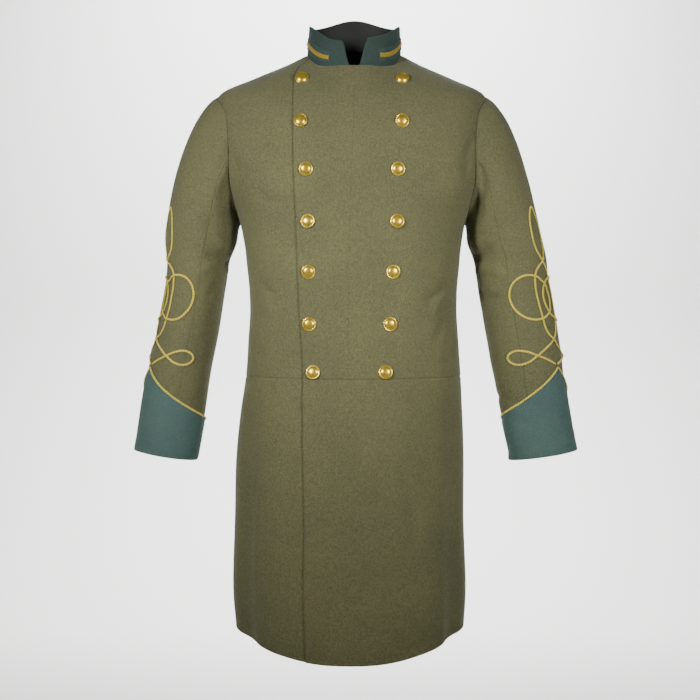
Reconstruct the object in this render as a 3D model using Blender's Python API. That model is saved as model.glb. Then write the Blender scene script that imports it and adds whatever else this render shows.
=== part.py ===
"""Double-breasted frock coat in its worn shape, with no wearer in it.

Metres, +Z up. The front faces -Y and the wearer's left is +X.
The origin is at the base of the neck, where the coat hangs on its wearer.
Every cloth piece is a wall: its outer face lies on a smooth surface and its
inner face is that surface moved in along its own normals.
"""

import math
from functools import lru_cache

import bpy
import numpy as np
from mathutils import Matrix, Vector

MM = 0.001

WOOL_THICKNESS = 2.0 * MM
CUFF_THICKNESS = 1.6 * MM
COLLAR_THICKNESS = 3.0 * MM
PATCH_THICKNESS = 1.2 * MM
BAR_THICKNESS = 1.4 * MM
SEAM_GAP = 0.3 * MM
SLEEVE_GAP = 0.5 * MM
CUFF_GAP = 0.6 * MM
FRONT_LAP_RAISE = 2.5 * MM
VENT_RAISE = 3.0 * MM
VENT_HALF_LAP = 4.0
LAP_FADE_FROM, LAP_FADE = 1.0, 17.0
VENT_FADE_FROM, VENT_FADE = 160.0, 12.0
SLEEVE_SEAM_TRIM = 0.15
CUFF_SEAM_TRIM = 0.3
POINT_CLEARANCE = 3.0
PIPING_CLEARANCE = 0.51 * MM
HALVINGS = 40

BUTTON_RADIUS = 11.5 * MM
BUTTON_HEIGHT = 6.0 * MM
BUTTON_SIDES = 12

BRAID_WIDTH = 3.8 * MM
BRAID_THICKNESS = 1.3 * MM
BRAID_CLEARANCE = 0.74 * MM
BRAID_STEP = 9.0
BRAID_TURN = 0.42
CROSSING_FLAT = 6.5
CROSSING_FOOT = 14.0

# Horizontal sections of the body, hem to neck, in millimetres.
# z_front, z_side and z_back are the heights of one cloth level at the front,
# side and back; squareness is the power of the section's superellipse.
# lapel_edge, lapel_seam and underlap are distances from the middle across
# the front; back_seam is the distance of the seam from the centre back; shift
# moves the whole section sideways; flatness is the power by which the front's
# height carries towards the sides.
BODY_COLUMNS = (
    "name", "z_front", "z_side", "z_back", "half_width", "front", "back", "squareness",
    "lapel_edge", "lapel_seam", "underlap", "back_seam", "shift", "flatness",
)
BODY = (
    ("hem", -1051, -1010, -1042, 199, 156, 166, 2.2, -74, -1, 91, 64, -4, 2.8),
    ("low skirt", -940, -934, -936, 205, 154, 158, 2.2, -76, -1, 91, 60, -5, 2),
    ("skirt", -820, -820, -818, 202, 151, 148, 2.2, -75, -1, 91, 55, -5, 2),
    ("hip", -720, -720, -716, 202, 147, 136, 2.25, -78, -3, 89, 50, -4, 2),
    ("upper hip", -640, -638, -636, 197, 143, 123, 2.3, -82, -6.5, 86, 46, -1, 2),
    ("waist", -574, -570, -566, 191, 139, 112, 2.35, -85, -9.5, 81.5, 42, 2.5, 2),
    ("ribs", -510, -508, -506, 187, 138, 110, 2.4, -87.5, -8.5, 83.5, 49, 2.5, 2),
    ("low chest", -445, -445, -443, 183.5, 139, 114, 2.4, -91.5, -7.5, 85.5, 68, 2.5, 2),
    ("chest", -375, -375, -373, 189, 141, 122, 2.45, -94.5, -7, 89.5, 105, 2.5, 2),
    ("underarm", -298, -298, -298, 200, 142, 128, 2.5, -96, -4.5, 92.5, 160, 1.5, 2),
    ("low armhole", -262, -225, -262, 229, 141, 130, 2.5, -97.5, -2.5, 96.5, 207, 0.5, 2),
    ("mid armhole", -228, -160, -222, 239, 139, 131, 2.45, -98.5, -0.5, 99, 213, 0, 2),
    ("high armhole", -196, -107, -180, 240, 135, 130, 2.2, -99, 0.5, 100, 215, 0, 2),
    ("shoulder tip", -160, -70, -134, 235, 127, 124, 2.0, -99.5, 2, 102, 215, 0, 2),
    ("mid shoulder", -118, -43, -86, 179, 115, 112, 1.95, -101.5, 2.5, 96.5, 150, 1.5, 2.2),
    ("near neck", -73, -18, -32, 122, 98, 91, 1.98, -99, 2, 77, 100, 3, 3.2),
    ("neck seam", -33, 2, 22, 84, 80, 62, 2.0, -78, 0.5, 52, 60, 4, 7),
)
WAIST, UNDERARM, ARMHOLE_JOIN, TIP, NECK = 5, 9, 10, 13, 16
SHOULDER_STEPS = (0.25, 0.6, 1.0, 1.5, 2.0, 3.0)

# The armhole is an ellipse in height and depth, a little fuller in front.
ARMHOLE_FRONT_REACH, ARMHOLE_BACK_REACH = 84, 74
ARMHOLE_MIDDLE, ARMHOLE_LEAN = 4, 14
ARM_ANGLES = (0, 16, 32, 50, 68, 86, 104, 122, 141, 160, 180)
FRONT_SLEEVE_SEAM, BACK_SLEEVE_SEAM = 104, 256
SIDE_SEAM_AT_WAIST = 100.0
SHOULDER_SEAM_AT_NECK = 97.0
SKIRT_PLEATS_FROM = 110.0

# Soft drape folds and pleats of the skirts and body: signed side, angle from
# the front at the top and at the foot, half width in degrees, depth in
# millimetres at the top and at the foot, and the heights between which the
# fold runs. A positive depth stands out, a negative one is a trough.
# Columns: side, angle_top, angle_foot, half_width, depth_top, depth_foot,
# z_top, z_foot.
FOLDS = (
    (1, 152, 150, 10, 4, 13, -574, -1060),
    (-1, 152, 150, 10, 4, 13, -574, -1060),
    (1, 139, 135, 9, -3, -13, -574, -1060),
    (-1, 139, 135, 9, -3, -13, -574, -1060),
    (1, 125, 121, 10, 1, 10, -590, -1060),
    (-1, 124, 119, 10, 1, 10, -590, -1060),
    (1, 66, 65, 10, -2, -6, -600, -1060),
    (-1, 64, 64, 10, -2, -6, -585, -1060),
    (1, 80, 82, 12, 0, 4, -600, -1060),
    (-1, 79, 80, 12, 0, 4, -600, -1060),
    (1, 102, 102, 12, -1, -8, -610, -1060),
    (-1, 100, 100, 12, -1, -8, -610, -1060),
    (1, 47, 50, 14, 0, 4, -640, -1060),
    (-1, 45, 47, 13, 0, 3, -640, -1060),
)

# Sections of a sleeve below its cap, in millimetres: height, distance of the
# inner and of the outer side on the wearer's right and on the left, place of
# the middle in depth, girth, and how far the outer side lies above.
SLEEVE_COLUMNS = (
    "name", "z", "inner_right", "outer_right", "inner_left", "outer_left", "middle", "girth", "rise",
)
SLEEVE = (
    ("upper arm", -335, 207, 330, 207, 341, 0, 422, 0),
    ("above elbow", -366, 219, 329, 219, 348, 3, 402, 1),
    ("elbow", -402, 224, 330, 224, 352, 4, 396, 2),
    ("forearm", -470, 235, 341, 235, 363, -2, 388, 4),
    ("mid forearm", -540, 247, 356, 247, 371, -14, 374, 6),
    ("above cuff", -610, 257, 367, 259, 378, -29, 356, 8),
    ("cuff", -665, 264, 373, 270, 385, -41, 347, 9),
    ("wrist", -706, 270, 378, 278, 392, -50, 344, 9),
)
SLEEVE_ROWS = (0.0, 0.16, 0.34, 0.55, 0.78) + tuple(float(k) for k in range(1, len(SLEEVE) + 1))
SLEEVE_CAP_PULL = {1: 0.72, -1: 0.68}
SLEEVE_END_PULL = 0.85

# The pointed cuff: angle of the point by the sleeve's side, and the heights at
# the point and at the lowest place of its top.
CUFF_POINT_ANGLE = {1: 43, -1: 34}
CUFF_POINT_Z, CUFF_LOW_Z = -552, -644
CUFF_ROWS = 4

# Half of the sleeve's braid knot, from the cuff's point to the top of its
# highest loop, in millimetres across and up from the point.
# Columns: across, up.
KNOT = (
    (3.4, 4), (19, 11.5), (36, 18.5), (52, 25), (68, 27), (81, 22.5), (87, 14),
    (81, 5.5), (68, 2.5), (52, 7), (36, 18.5), (18, 32), (0, 46), (-13, 64),
    (-18, 88), (-21, 114), (-22, 140), (-17, 166), (0, 187), (11, 203), (15, 224),
    (12, 253), (0, 279),
)
RING_ACROSS, RING_UP, RING_RADIUS = 31, 120, 39
KNOT_LEAN = 5.0
KNOT_HEIGHT = 279

# Standing collar, millimetres, from its seam to its top: as the body's
# sections, and how far its left front stands above its right front.
COLLAR_COLUMNS = (
    "name", "z_front", "z_side", "z_back", "half_width", "front", "back", "shift", "flatness",
    "skew",
)
COLLAR = (
    ("seam", -32.4, 2.6, 22.6, 83.4, 79.4, 61.4, 4, 7, 0),
    ("middle", -11, 27.5, 50.5, 82.3, 82, 60.5, 4.5, 5, 3.5),
    ("top", 12, 52, 78, 81, 84, 58, 4.5, 2.8, 3.5),
)
# Front edge of the collar. Columns: share of the height, then the distance
# across the front of the edge on the wearer's right and on the left.
COLLAR_EDGE = (
    (0.0, -9, 9), (0.3, -13, 12.5), (0.6, -16, 16), (0.85, -18.5, 20), (1.0, -22.5, 24),
)
PATCH_FROM, PATCH_TO, PATCH_COLUMNS = 31.0, 87.0, 5
PATCH_LOW, PATCH_HIGH = 0.17, 0.61
BAR_LOW, BAR_HIGH = 0.315, 0.465

# Buttons. Columns: height, distance from the middle of the column on the
# wearer's right, and of the one on the left.
BUTTONS = (
    (-56, -89, 84),
    (-136, -87, 85),
    (-219.5, -77.5, 77),
    (-307, -75.5, 74),
    (-392, -76, 66.5),
    (-480, -74.5, 61.5),
    (-561, -68, 53.5),
)

# Colour, roughness and metallic value of each material.
MATERIALS = {
    "wool": ((0.155, 0.138, 0.082, 1.0), 0.95, 0.0),
    "facing": ((0.060, 0.112, 0.103, 1.0), 0.92, 0.0),
    "collar_cloth": ((0.040, 0.074, 0.070, 1.0), 0.92, 0.0),
    "braid": ((0.610, 0.485, 0.115, 1.0), 0.55, 0.0),
    "brass": ((0.700, 0.460, 0.110, 1.0), 0.28, 1.0),
}


def clear_scene():
    for item in list(bpy.data.objects):
        bpy.data.objects.remove(item, do_unlink=True)


@lru_cache(maxsize=None)
def material(name):
    """One plain material by its name in MATERIALS."""
    colour, roughness, metallic = MATERIALS[name]
    made = bpy.data.materials.new(name)
    made.use_nodes = True
    shader = made.node_tree.nodes["Principled BSDF"]
    shader.inputs["Base Color"].default_value = colour
    shader.inputs["Roughness"].default_value = roughness
    shader.inputs["Metallic"].default_value = metallic
    made.diffuse_color = colour
    return made


def own_material(piece, name):
    """Gives the piece a copy of a material under its own name."""
    own = material(name).copy()
    own.name = piece.name
    piece.data.materials.clear()
    piece.data.materials.append(own)


def smooth(values, level):
    """A smooth curve through evenly numbered values, read between them."""
    slopes = np.gradient(values)
    i = int(min(max(math.floor(level), 0), len(values) - 2))
    t = level - i
    return (
        values[i] * (2 * t**3 - 3 * t**2 + 1)
        + slopes[i] * (t**3 - 2 * t**2 + t)
        + values[i + 1] * (3 * t**2 - 2 * t**3)
        + slopes[i + 1] * (t**3 - t**2)
    )


def ease(t):
    """0 to 1 with a flat start and end."""
    t = min(max(t, 0.0), 1.0)
    return t * t * (3 - 2 * t)


def table(rows, columns):
    """Columns of a table as arrays by name, the name column left out."""
    numbers = [c for c in columns if c != "name"]
    skip = len(columns) - len(numbers)
    return {c: np.array([float(r[skip + k]) for r in rows]) for k, c in enumerate(numbers)}


BODY_TABLE = table(BODY, BODY_COLUMNS)
SLEEVE_TABLE = table(SLEEVE, SLEEVE_COLUMNS)
COLLAR_TABLE = table(COLLAR, COLLAR_COLUMNS)


@lru_cache(maxsize=None)
def body_section(level):
    return {name: smooth(values, level) for name, values in BODY_TABLE.items()}


def superellipse(angle, half_width, front, back, power):
    """Radius of a section in the direction of an angle, in degrees."""
    along, across = math.cos(math.radians(angle)), math.sin(math.radians(angle))
    depth = front if along > 0 else back
    reach = abs(along / depth) ** power + abs(across / half_width) ** power
    return reach ** (-1 / power)


def ring_height(angle, s):
    """Height of a section at an angle, between its side and its front or back."""
    in_front = math.cos(math.radians(angle)) > 0
    z_end, power = (s["z_front"], s["flatness"]) if in_front else (s["z_back"], 2)
    share = 1 - abs(math.sin(math.radians(angle))) ** power
    return s["z_side"] + (z_end - s["z_side"]) * share


def fold_depth(angle, z):
    """Sum of the folds at an angle from the front and a height."""
    total = 0.0
    for side, top, foot, half, deep_top, deep_foot, z_top, z_foot in FOLDS:
        share = (z_top - z) / (z_top - z_foot)
        if share <= 0:
            continue
        middle = side * (top + (foot - top) * share)
        off = abs((angle - middle + 180) % 360 - 180) / half
        if off < 1:
            fade = ease(share / 0.08)
            total += fade * (deep_top + (deep_foot - deep_top) * share) * math.cos(off * math.pi / 2) ** 2
    return total


def body_point(angle, level):
    """A point of the body's outer surface, in metres."""
    s = body_section(level)
    along, across = math.cos(math.radians(angle)), math.sin(math.radians(angle))
    z = ring_height(angle, s)
    r = superellipse(angle, s["half_width"], s["front"], s["back"], s["squareness"])
    r += fold_depth(angle, z)
    return np.array([r * across + s["shift"], -r * along, z]) * MM


def normal_of(surface, u, v, du=0.5, dv=0.02):
    """The surface's unit normal, from two short steps each way."""
    a = surface(u + du, v) - surface(u - du, v)
    b = surface(u, v + dv) - surface(u, v - dv)
    n = np.cross(a, b)
    return n / np.linalg.norm(n)


def front_angle(level, across):
    """The angle of a place at a distance across the front."""
    s = body_section(level)
    share = min(abs(across) / s["half_width"], 0.9999)
    depth = s["front"] * (1 - share ** s["squareness"]) ** (1 / s["squareness"])
    return math.degrees(math.atan2(across, depth))


def back_angle(level, across):
    """The angle of a place at a distance across the back, wearer's left."""
    s = body_section(level)
    share = min(across / s["half_width"], 0.9999)
    depth = s["back"] * (1 - share ** s["squareness"]) ** (1 / s["squareness"])
    return 180 - math.degrees(math.atan2(across, depth))


def seam(name, level):
    return front_angle(level, body_section(level)[name])


def arm_level(arm_angle):
    """The body level of a place on the armhole's ellipse."""
    height = (1 + math.cos(math.radians(arm_angle))) / 2
    return UNDERARM + (TIP - UNDERARM) * height


def armhole_angle(arm_angle):
    """The body angle of a place on the armhole; 90 is its front, 270 its back."""
    level = arm_level(arm_angle)
    height = (level - UNDERARM) / (TIP - UNDERARM)
    turn = math.sin(math.radians(arm_angle))
    reach = ARMHOLE_FRONT_REACH if turn > 0 else ARMHOLE_BACK_REACH
    y = ARMHOLE_MIDDLE + ARMHOLE_LEAN * height**2 - reach * turn
    s = body_section(level)
    depth = s["front"] if y < 0 else s["back"]
    x = s["half_width"] * (1 - abs(y / depth) ** s["squareness"]) ** (1 / s["squareness"])
    return math.degrees(math.atan2(x, -y))


def degrees_across(level, width):
    """The angle that a width in metres takes at the side of a level."""
    return math.degrees(width / MM / body_section(level)["half_width"])


def side_seam(level):
    """The side seam runs from the armhole's foot back to the waist."""
    share = (UNDERARM - level) / (UNDERARM - WAIST)
    foot = armhole_angle(180)
    return foot + (SIDE_SEAM_AT_WAIST - foot) * share


def shoulder_seam(level):
    """The shoulder seam runs from the armhole's top to the neck."""
    share = (level - TIP) / (NECK - TIP)
    top = armhole_angle(0)
    return top + (SHOULDER_SEAM_AT_NECK - top) * share


def upper_rows():
    """Levels from waist to neck, each with its place on the armhole or None."""
    below = [(float(k), None) for k in range(WAIST, UNDERARM)] + [(UNDERARM - 0.5, None)]
    beside = [(arm_level(b), b) for b in reversed(ARM_ANGLES)]
    above = [(TIP + step, None) for step in SHOULDER_STEPS]
    return below + beside + above


def skirt_rows():
    return [0.0, 0.5, 1.0, 1.5, 2.0, 2.5, 3.0, 3.5, 4.0, 4.4, 4.7, 5.0]


def waist_shift():
    """Half a seam gap as a step of level near the waist."""
    drop = (BODY_TABLE["z_front"][WAIST] - BODY_TABLE["z_front"][WAIST - 1]) * MM
    return 0.5 * SEAM_GAP / drop


def spread(start, end, count):
    return [start + (end - start) * k / count for k in range(count)]


def wall(name, outer, inner, cloth):
    """A closed wall between two grids of points of the same size.

    Both grids go row by row. Each cell is cut along the same diagonal, so
    that walls laid on each other stay parallel.
    """
    rows, columns = outer.shape[:2]
    middle = (rows // 2, columns // 2)
    if middle[0] == rows - 1:
        middle = (rows - 2, middle[1])
    i, j = middle
    across = outer[i, j] - outer[i, j - 1]
    up = outer[i + 1, j] - outer[i, j]
    if np.dot(np.cross(across, up), outer[i, j] - inner[i, j]) < 0:
        outer, inner = outer[:, ::-1], inner[:, ::-1]
    count = rows * columns
    points = np.concatenate([outer.reshape(-1, 3), inner.reshape(-1, 3)])
    faces = []
    for i in range(rows - 1):
        for j in range(columns - 1):
            a, b = i * columns + j, i * columns + j + 1
            c, d = b + columns, a + columns
            faces += [(a, b, c), (a, c, d)]
            a, b, c, d = a + count, b + count, c + count, d + count
            faces += [(a, c, b), (a, d, c)]
    border = [j for j in range(columns - 1)]
    border += [i * columns + columns - 1 for i in range(rows - 1)]
    border += [(rows - 1) * columns + j for j in range(columns - 1, 0, -1)]
    border += [i * columns for i in range(rows - 1, 0, -1)]
    for k, a in enumerate(border):
        b = border[(k + 1) % len(border)]
        faces += [(a, a + count, b + count), (a, b + count, b)]
    mesh = bpy.data.meshes.new(name)
    mesh.from_pydata([tuple(p) for p in points], [], faces)
    mesh.shade_smooth()
    mesh.set_sharp_from_angle(angle=math.radians(50))
    piece = bpy.data.objects.new(name, mesh)
    bpy.context.scene.collection.objects.link(piece)
    own_material(piece, cloth)
    return piece


def surface_wall(name, surface, grid, thickness, cloth, lift=None):
    """A wall on a surface. grid is rows of (u, v); lift raises it by a rule."""
    outer, inner = [], []
    for row in grid:
        points = [surface(u, v) for u, v in row]
        normals = [normal_of(surface, u, v) for u, v in row]
        raised = [lift(u, v) if lift else 0.0 for u, v in row]
        outer.append([p + n * h for p, n, h in zip(points, normals, raised)])
        inner.append([p + n * (h - thickness) for p, n, h in zip(points, normals, raised)])
    return wall(name, np.array(outer), np.array(inner), cloth)


def front_lap(angle, level):
    """The outer front stands proud of the one under it, and fades past it."""
    past = (angle - seam("underlap", level) - LAP_FADE_FROM) / LAP_FADE
    return FRONT_LAP_RAISE * (1 - ease(past))


def front_end(level, arm):
    """Where a front piece ends at the side, armhole or shoulder."""
    if arm is not None:
        return armhole_angle(arm)
    return side_seam(level) if level < UNDERARM else shoulder_seam(level)


def build_fronts():
    """The lapel, the outer front, and the front under them."""
    lapel, left, right = [], [], []
    for level, arm in upper_rows():
        v = level + waist_shift() if level == WAIST else level
        half = degrees_across(level, 0.5 * SEAM_GAP)
        edge, middle, under = (seam(n, level) for n in ("lapel_edge", "lapel_seam", "underlap"))
        end = front_end(level, arm) - half
        outside = spread(edge, middle, 5)
        inside = spread(middle, under, 5)
        lapel.append([(u, v) for u in outside + [middle - half]])
        left.append([(u, v) for u in [middle + half] + inside[1:] + spread(under, end, 7) + [end]])
        right.append([(u, v) for u in spread(-end, edge, 7) + outside + inside + [under]])
    surface_wall("lapel_left", body_point, lapel, WOOL_THICKNESS, "wool", front_lap)
    surface_wall("front_left", body_point, left, WOOL_THICKNESS, "wool", front_lap)
    surface_wall("front_right", body_point, right, WOOL_THICKNESS, "wool")


def build_side_bodies():
    """The narrow pieces under the arms, from waist to armhole."""
    for side, name in ((1, "side_body_left"), (-1, "side_body_right")):
        grid = []
        for level, arm in upper_rows():
            if level > ARMHOLE_JOIN + 0.001:
                break
            v = level + waist_shift() if level == WAIST else level
            half = degrees_across(level, 0.5 * SEAM_GAP)
            start = side_seam(level) if arm is None else armhole_angle(360 - arm)
            end = back_angle(level, body_section(level)["back_seam"])
            row = spread(start + half, end - half, 3) + [end - half]
            grid.append([(side * u, v) for u in row])
        surface_wall(name, body_point, grid, WOOL_THICKNESS, "wool")


def back_start(level, arm):
    """Where a back piece begins: pleat, side seam, armhole or shoulder seam."""
    if arm is not None and level > ARMHOLE_JOIN + 0.001:
        return armhole_angle(360 - arm)
    if level > TIP:
        return shoulder_seam(level)
    return back_angle(level, body_section(level)["back_seam"])


def vent_lap(angle, level):
    """The wearer's left side of the back vent stands proud of the right."""
    below = ease((WAIST - level) / 0.3)
    return VENT_RAISE * below * ease((angle - VENT_FADE_FROM) / VENT_FADE)


def build_backs():
    """Each back runs from neck to hem, with a lapped vent below the waist."""
    rows = [(level, None) for level in skirt_rows()[:-1]] + upper_rows()
    for side, name in ((1, "back_left"), (-1, "back_right")):
        grid = []
        for level, arm in rows:
            half = degrees_across(level, 0.5 * SEAM_GAP)
            start = back_start(level, arm) + half
            lap = VENT_HALF_LAP if level < WAIST - 0.5 else -2 * half
            inner = spread(start, 180 - VENT_HALF_LAP, 4)
            row = inner + [180 - VENT_HALF_LAP, 180 + lap]
            grid.append([(side * u, level) for u in row])
        lift = vent_lap if side == 1 else None
        surface_wall(name, body_point, grid, WOOL_THICKNESS, "wool", lift)


def build_skirts():
    """The two skirts, the wearer's left lapping over the right in front."""
    left, right = [], []
    for level in skirt_rows():
        v = level - waist_shift() if level == WAIST else level
        half = degrees_across(level, 0.5 * SEAM_GAP)
        edge, middle, under = (seam(n, level) for n in ("lapel_edge", "lapel_seam", "underlap"))
        end = back_angle(level, body_section(level)["back_seam"]) - half
        outside, inside = spread(edge, middle, 4), spread(middle, under, 4)
        side = spread(under, SKIRT_PLEATS_FROM, 10) + spread(SKIRT_PLEATS_FROM, end, 11)
        left.append([(u, v) for u in outside + inside + side + [end]])
        side = spread(-end, -SKIRT_PLEATS_FROM, 11) + spread(-SKIRT_PLEATS_FROM, edge, 9)
        right.append([(u, v) for u in side + outside + inside + [under]])
    surface_wall("skirt_left", body_point, left, WOOL_THICKNESS, "wool", front_lap)
    surface_wall("skirt_right", body_point, right, WOOL_THICKNESS, "wool")


def sleeve_ring(side, arm_angle, row):
    """A point of a sleeve's section below its cap, in metres."""
    s = {name: smooth(values, row) for name, values in SLEEVE_TABLE.items()}
    hand = "left" if side > 0 else "right"
    inner, outer = s[f"inner_{hand}"], s[f"outer_{hand}"]
    middle, half = (inner + outer) / 2, (outer - inner) / 2
    depth = s["girth"] / math.pi - half
    out, front = math.cos(math.radians(arm_angle)), math.sin(math.radians(arm_angle))
    return np.array(
        [side * (middle + half * out), s["middle"] - depth * front, s["z"] + s["rise"] * out]
    ) * MM


@lru_cache(maxsize=None)
def sleeve_cap(side, arm_angle):
    """Ends and pulls of the cap's curve from the armhole to the upper arm."""
    level = arm_level(arm_angle)
    start = body_point(side * armhole_angle(arm_angle % 360), level)
    out, front = math.cos(math.radians(arm_angle)), math.sin(math.radians(arm_angle))
    leave = np.array([side * 1.0, -0.34 * front, -0.42 - 0.34 * (1 - out)])
    leave /= np.linalg.norm(leave)
    end = sleeve_ring(side, arm_angle, 0.0)
    arrive = sleeve_ring(side, arm_angle, 0.4) - end
    arrive /= np.linalg.norm(arrive)
    reach = np.linalg.norm(end - start)
    return start + leave * SLEEVE_GAP, leave * reach * SLEEVE_CAP_PULL[side], end, arrive * reach * SLEEVE_END_PULL


def sleeve_point(side, arm_angle, row):
    """A point of a sleeve: rows 0 to 1 are the cap, then one row a section."""
    if row >= 1:
        return sleeve_ring(side, arm_angle, row - 1)
    start, leave, end, arrive = sleeve_cap(side, round(arm_angle % 360, 6))
    t = row
    return (
        start * (2 * t**3 - 3 * t**2 + 1)
        + leave * (t**3 - 2 * t**2 + t)
        + end * (3 * t**2 - 2 * t**3)
        + arrive * (t**3 - t**2)
    )


def sleeve_normal(side, arm_angle, row):
    """The sleeve's outward unit normal; the step stays inside one stretch."""
    low = max(row - 0.01, 0.0)
    a = sleeve_point(side, arm_angle + 0.5, row) - sleeve_point(side, arm_angle - 0.5, row)
    b = sleeve_point(side, arm_angle, low + 0.02) - sleeve_point(side, arm_angle, low)
    n = np.cross(a, b) * side
    return n / np.linalg.norm(n)


def sleeve_place(side, arm_angle, row):
    """A point on a sleeve's smooth surface and the normal there."""
    return sleeve_point(side, arm_angle, row), sleeve_normal(side, arm_angle, row)


def sleeve_skin(side, arm_angle, row):
    """A point on a sleeve for what lies on it, and the normal there.

    Where the flat cells of the sleeve's wall bridge a hollow of the smooth
    surface, the point is raised along the normal onto them.
    """
    arm_angle = arm_angle % 360
    columns = around(0, 360)
    j = max(k for k, b in enumerate(columns[:-1]) if b <= arm_angle)
    i = max(k for k, r in enumerate(SLEEVE_ROWS[:-1]) if r <= row)
    s = (arm_angle - columns[j]) / (columns[j + 1] - columns[j])
    t = (row - SLEEVE_ROWS[i]) / (SLEEVE_ROWS[i + 1] - SLEEVE_ROWS[i])
    flat = sum(
        share * sleeve_corner(side, columns[j + a], SLEEVE_ROWS[i + b])
        for a, b, share in (
            (0, 0, (1 - s) * (1 - t)), (1, 0, s * (1 - t)), (0, 1, (1 - s) * t), (1, 1, s * t),
        )
    )
    point, normal = sleeve_place(side, arm_angle, row)
    return point + normal * max(np.dot(flat - point, normal), 0.0), normal


@lru_cache(maxsize=None)
def sleeve_corner(side, arm_angle, row):
    return sleeve_point(side, arm_angle, row)


def sleeve_row_at(side, arm_angle, z):
    """The row of a sleeve at a height in metres, by halving."""
    low, high = 0.0, float(len(SLEEVE))
    for _ in range(HALVINGS):
        middle = (low + high) / 2
        if sleeve_point(side, arm_angle, middle)[2] > z:
            low = middle
        else:
            high = middle
    return (low + high) / 2


def around(start, end):
    """The sleeve's columns between two angles, counted past 360."""
    whole = list(ARM_ANGLES) + [360 - b for b in reversed(ARM_ANGLES[1:-1])]
    whole = whole + [b + 360 for b in whole]
    return [b for b in whole if start <= b <= end]


def sleeve_wall(name, side, grid, thickness, cloth, lift=0.0):
    """A wall of a sleeve, or one that lies on it with its outer face at lift."""
    read = sleeve_skin if lift else sleeve_place
    places = [[read(side, b, r) for b, r in row] for row in grid]
    points = np.array([[p for p, _ in row] for row in places])
    normals = np.array([[n for _, n in row] for row in places])
    return wall(name, points + normals * lift, points + normals * (lift - thickness), cloth)


def build_sleeves():
    """Two-piece sleeves: a top sleeve outside and an under sleeve inside."""
    for side, hand in ((1, "left"), (-1, "right")):
        top = around(BACK_SLEEVE_SEAM, 360 + FRONT_SLEEVE_SEAM)
        under = around(FRONT_SLEEVE_SEAM, BACK_SLEEVE_SEAM)
        for name, columns in (("top_sleeve", top), ("under_sleeve", under)):
            first, last = columns[0] + SLEEVE_SEAM_TRIM, columns[-1] - SLEEVE_SEAM_TRIM
            columns = [first] + columns[1:-1] + [last]
            grid = [[(b, row) for b in columns] for row in SLEEVE_ROWS]
            sleeve_wall(f"{name}_{hand}", side, grid, WOOL_THICKNESS, "wool")


def cuff_top(side, arm_angle):
    """Height of the cuff's top in metres: a point that falls in a soft curve."""
    off = abs((arm_angle - CUFF_POINT_ANGLE[side] + 180) % 360 - 180) / 180
    return (CUFF_LOW_Z + (CUFF_POINT_Z - CUFF_LOW_Z) * (1 - off) ** 2) * MM


def cuff_columns(side):
    """Columns round a cuff, with its point, open by a hair at the back seam."""
    columns = around(BACK_SLEEVE_SEAM, 360 + BACK_SLEEVE_SEAM)
    point = 360 + CUFF_POINT_ANGLE[side]
    between = [b for b in columns[1:-1] if abs(b - point) > POINT_CLEARANCE] + [point]
    return [columns[0] + CUFF_SEAM_TRIM] + sorted(between) + [columns[-1] - CUFF_SEAM_TRIM]


def build_cuffs():
    """Pointed facings round the ends of the sleeves."""
    for side, hand in ((1, "left"), (-1, "right")):
        grid = []
        for k in range(CUFF_ROWS + 1):
            share = k / CUFF_ROWS
            row = []
            for b in cuff_columns(side):
                top = sleeve_row_at(side, b, cuff_top(side, b))
                row.append((b, top + (len(SLEEVE) - top) * share))
            grid.append(row)
        sleeve_wall(
            f"cuff_{hand}", side, grid, CUFF_THICKNESS, "facing", CUFF_GAP + CUFF_THICKNESS
        )


def flat_curve(points, closed=False):
    """Dense points of a smooth flat curve through a few points."""
    points = np.array(points, float)
    dense = []
    last = len(points) if closed else len(points) - 1
    for i in range(last):
        before = points[i - 1] if closed or i else 2 * points[0] - points[1]
        a, b = points[i], points[(i + 1) % len(points)]
        if closed or i + 2 < len(points):
            after = points[(i + 2) % len(points)]
        else:
            after = 2 * b - a
        for t in np.arange(0, 1, 0.02):
            ma, mb = (b - before) / 2, (after - a) / 2
            dense.append(
                a * (2 * t**3 - 3 * t**2 + 1) + ma * (t**3 - 2 * t**2 + t)
                + b * (3 * t**2 - 2 * t**3) + mb * (t**3 - t**2)
            )
    dense.append(points[0] if closed else points[-1])
    return np.array(dense)


def distance_along(points):
    return np.concatenate([[0], np.cumsum(np.linalg.norm(np.diff(points, axis=0), axis=1))])


def crossings(first, second, same):
    """Places where two flat curves cross, as distances along each."""
    along_a, along_b = distance_along(first), distance_along(second)
    found = []
    for i in range(len(first) - 1):
        p, r = first[i], first[i + 1] - first[i]
        q, s = second[:-1], second[1:] - second[:-1]
        cross = r[0] * s[:, 1] - r[1] * s[:, 0]
        cross[cross == 0] = 1e-12
        gap = q - p
        t = (gap[:, 0] * s[:, 1] - gap[:, 1] * s[:, 0]) / cross
        u = (gap[:, 0] * r[1] - gap[:, 1] * r[0]) / cross
        for j in np.nonzero((t >= 0) & (t < 1) & (u >= 0) & (u < 1))[0]:
            if same and j <= i + 3:
                continue
            found.append((
                along_a[i] + t[j] * (along_a[i + 1] - along_a[i]),
                along_b[j] + u[j] * (along_b[j + 1] - along_b[j]),
            ))
    return found


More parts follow.
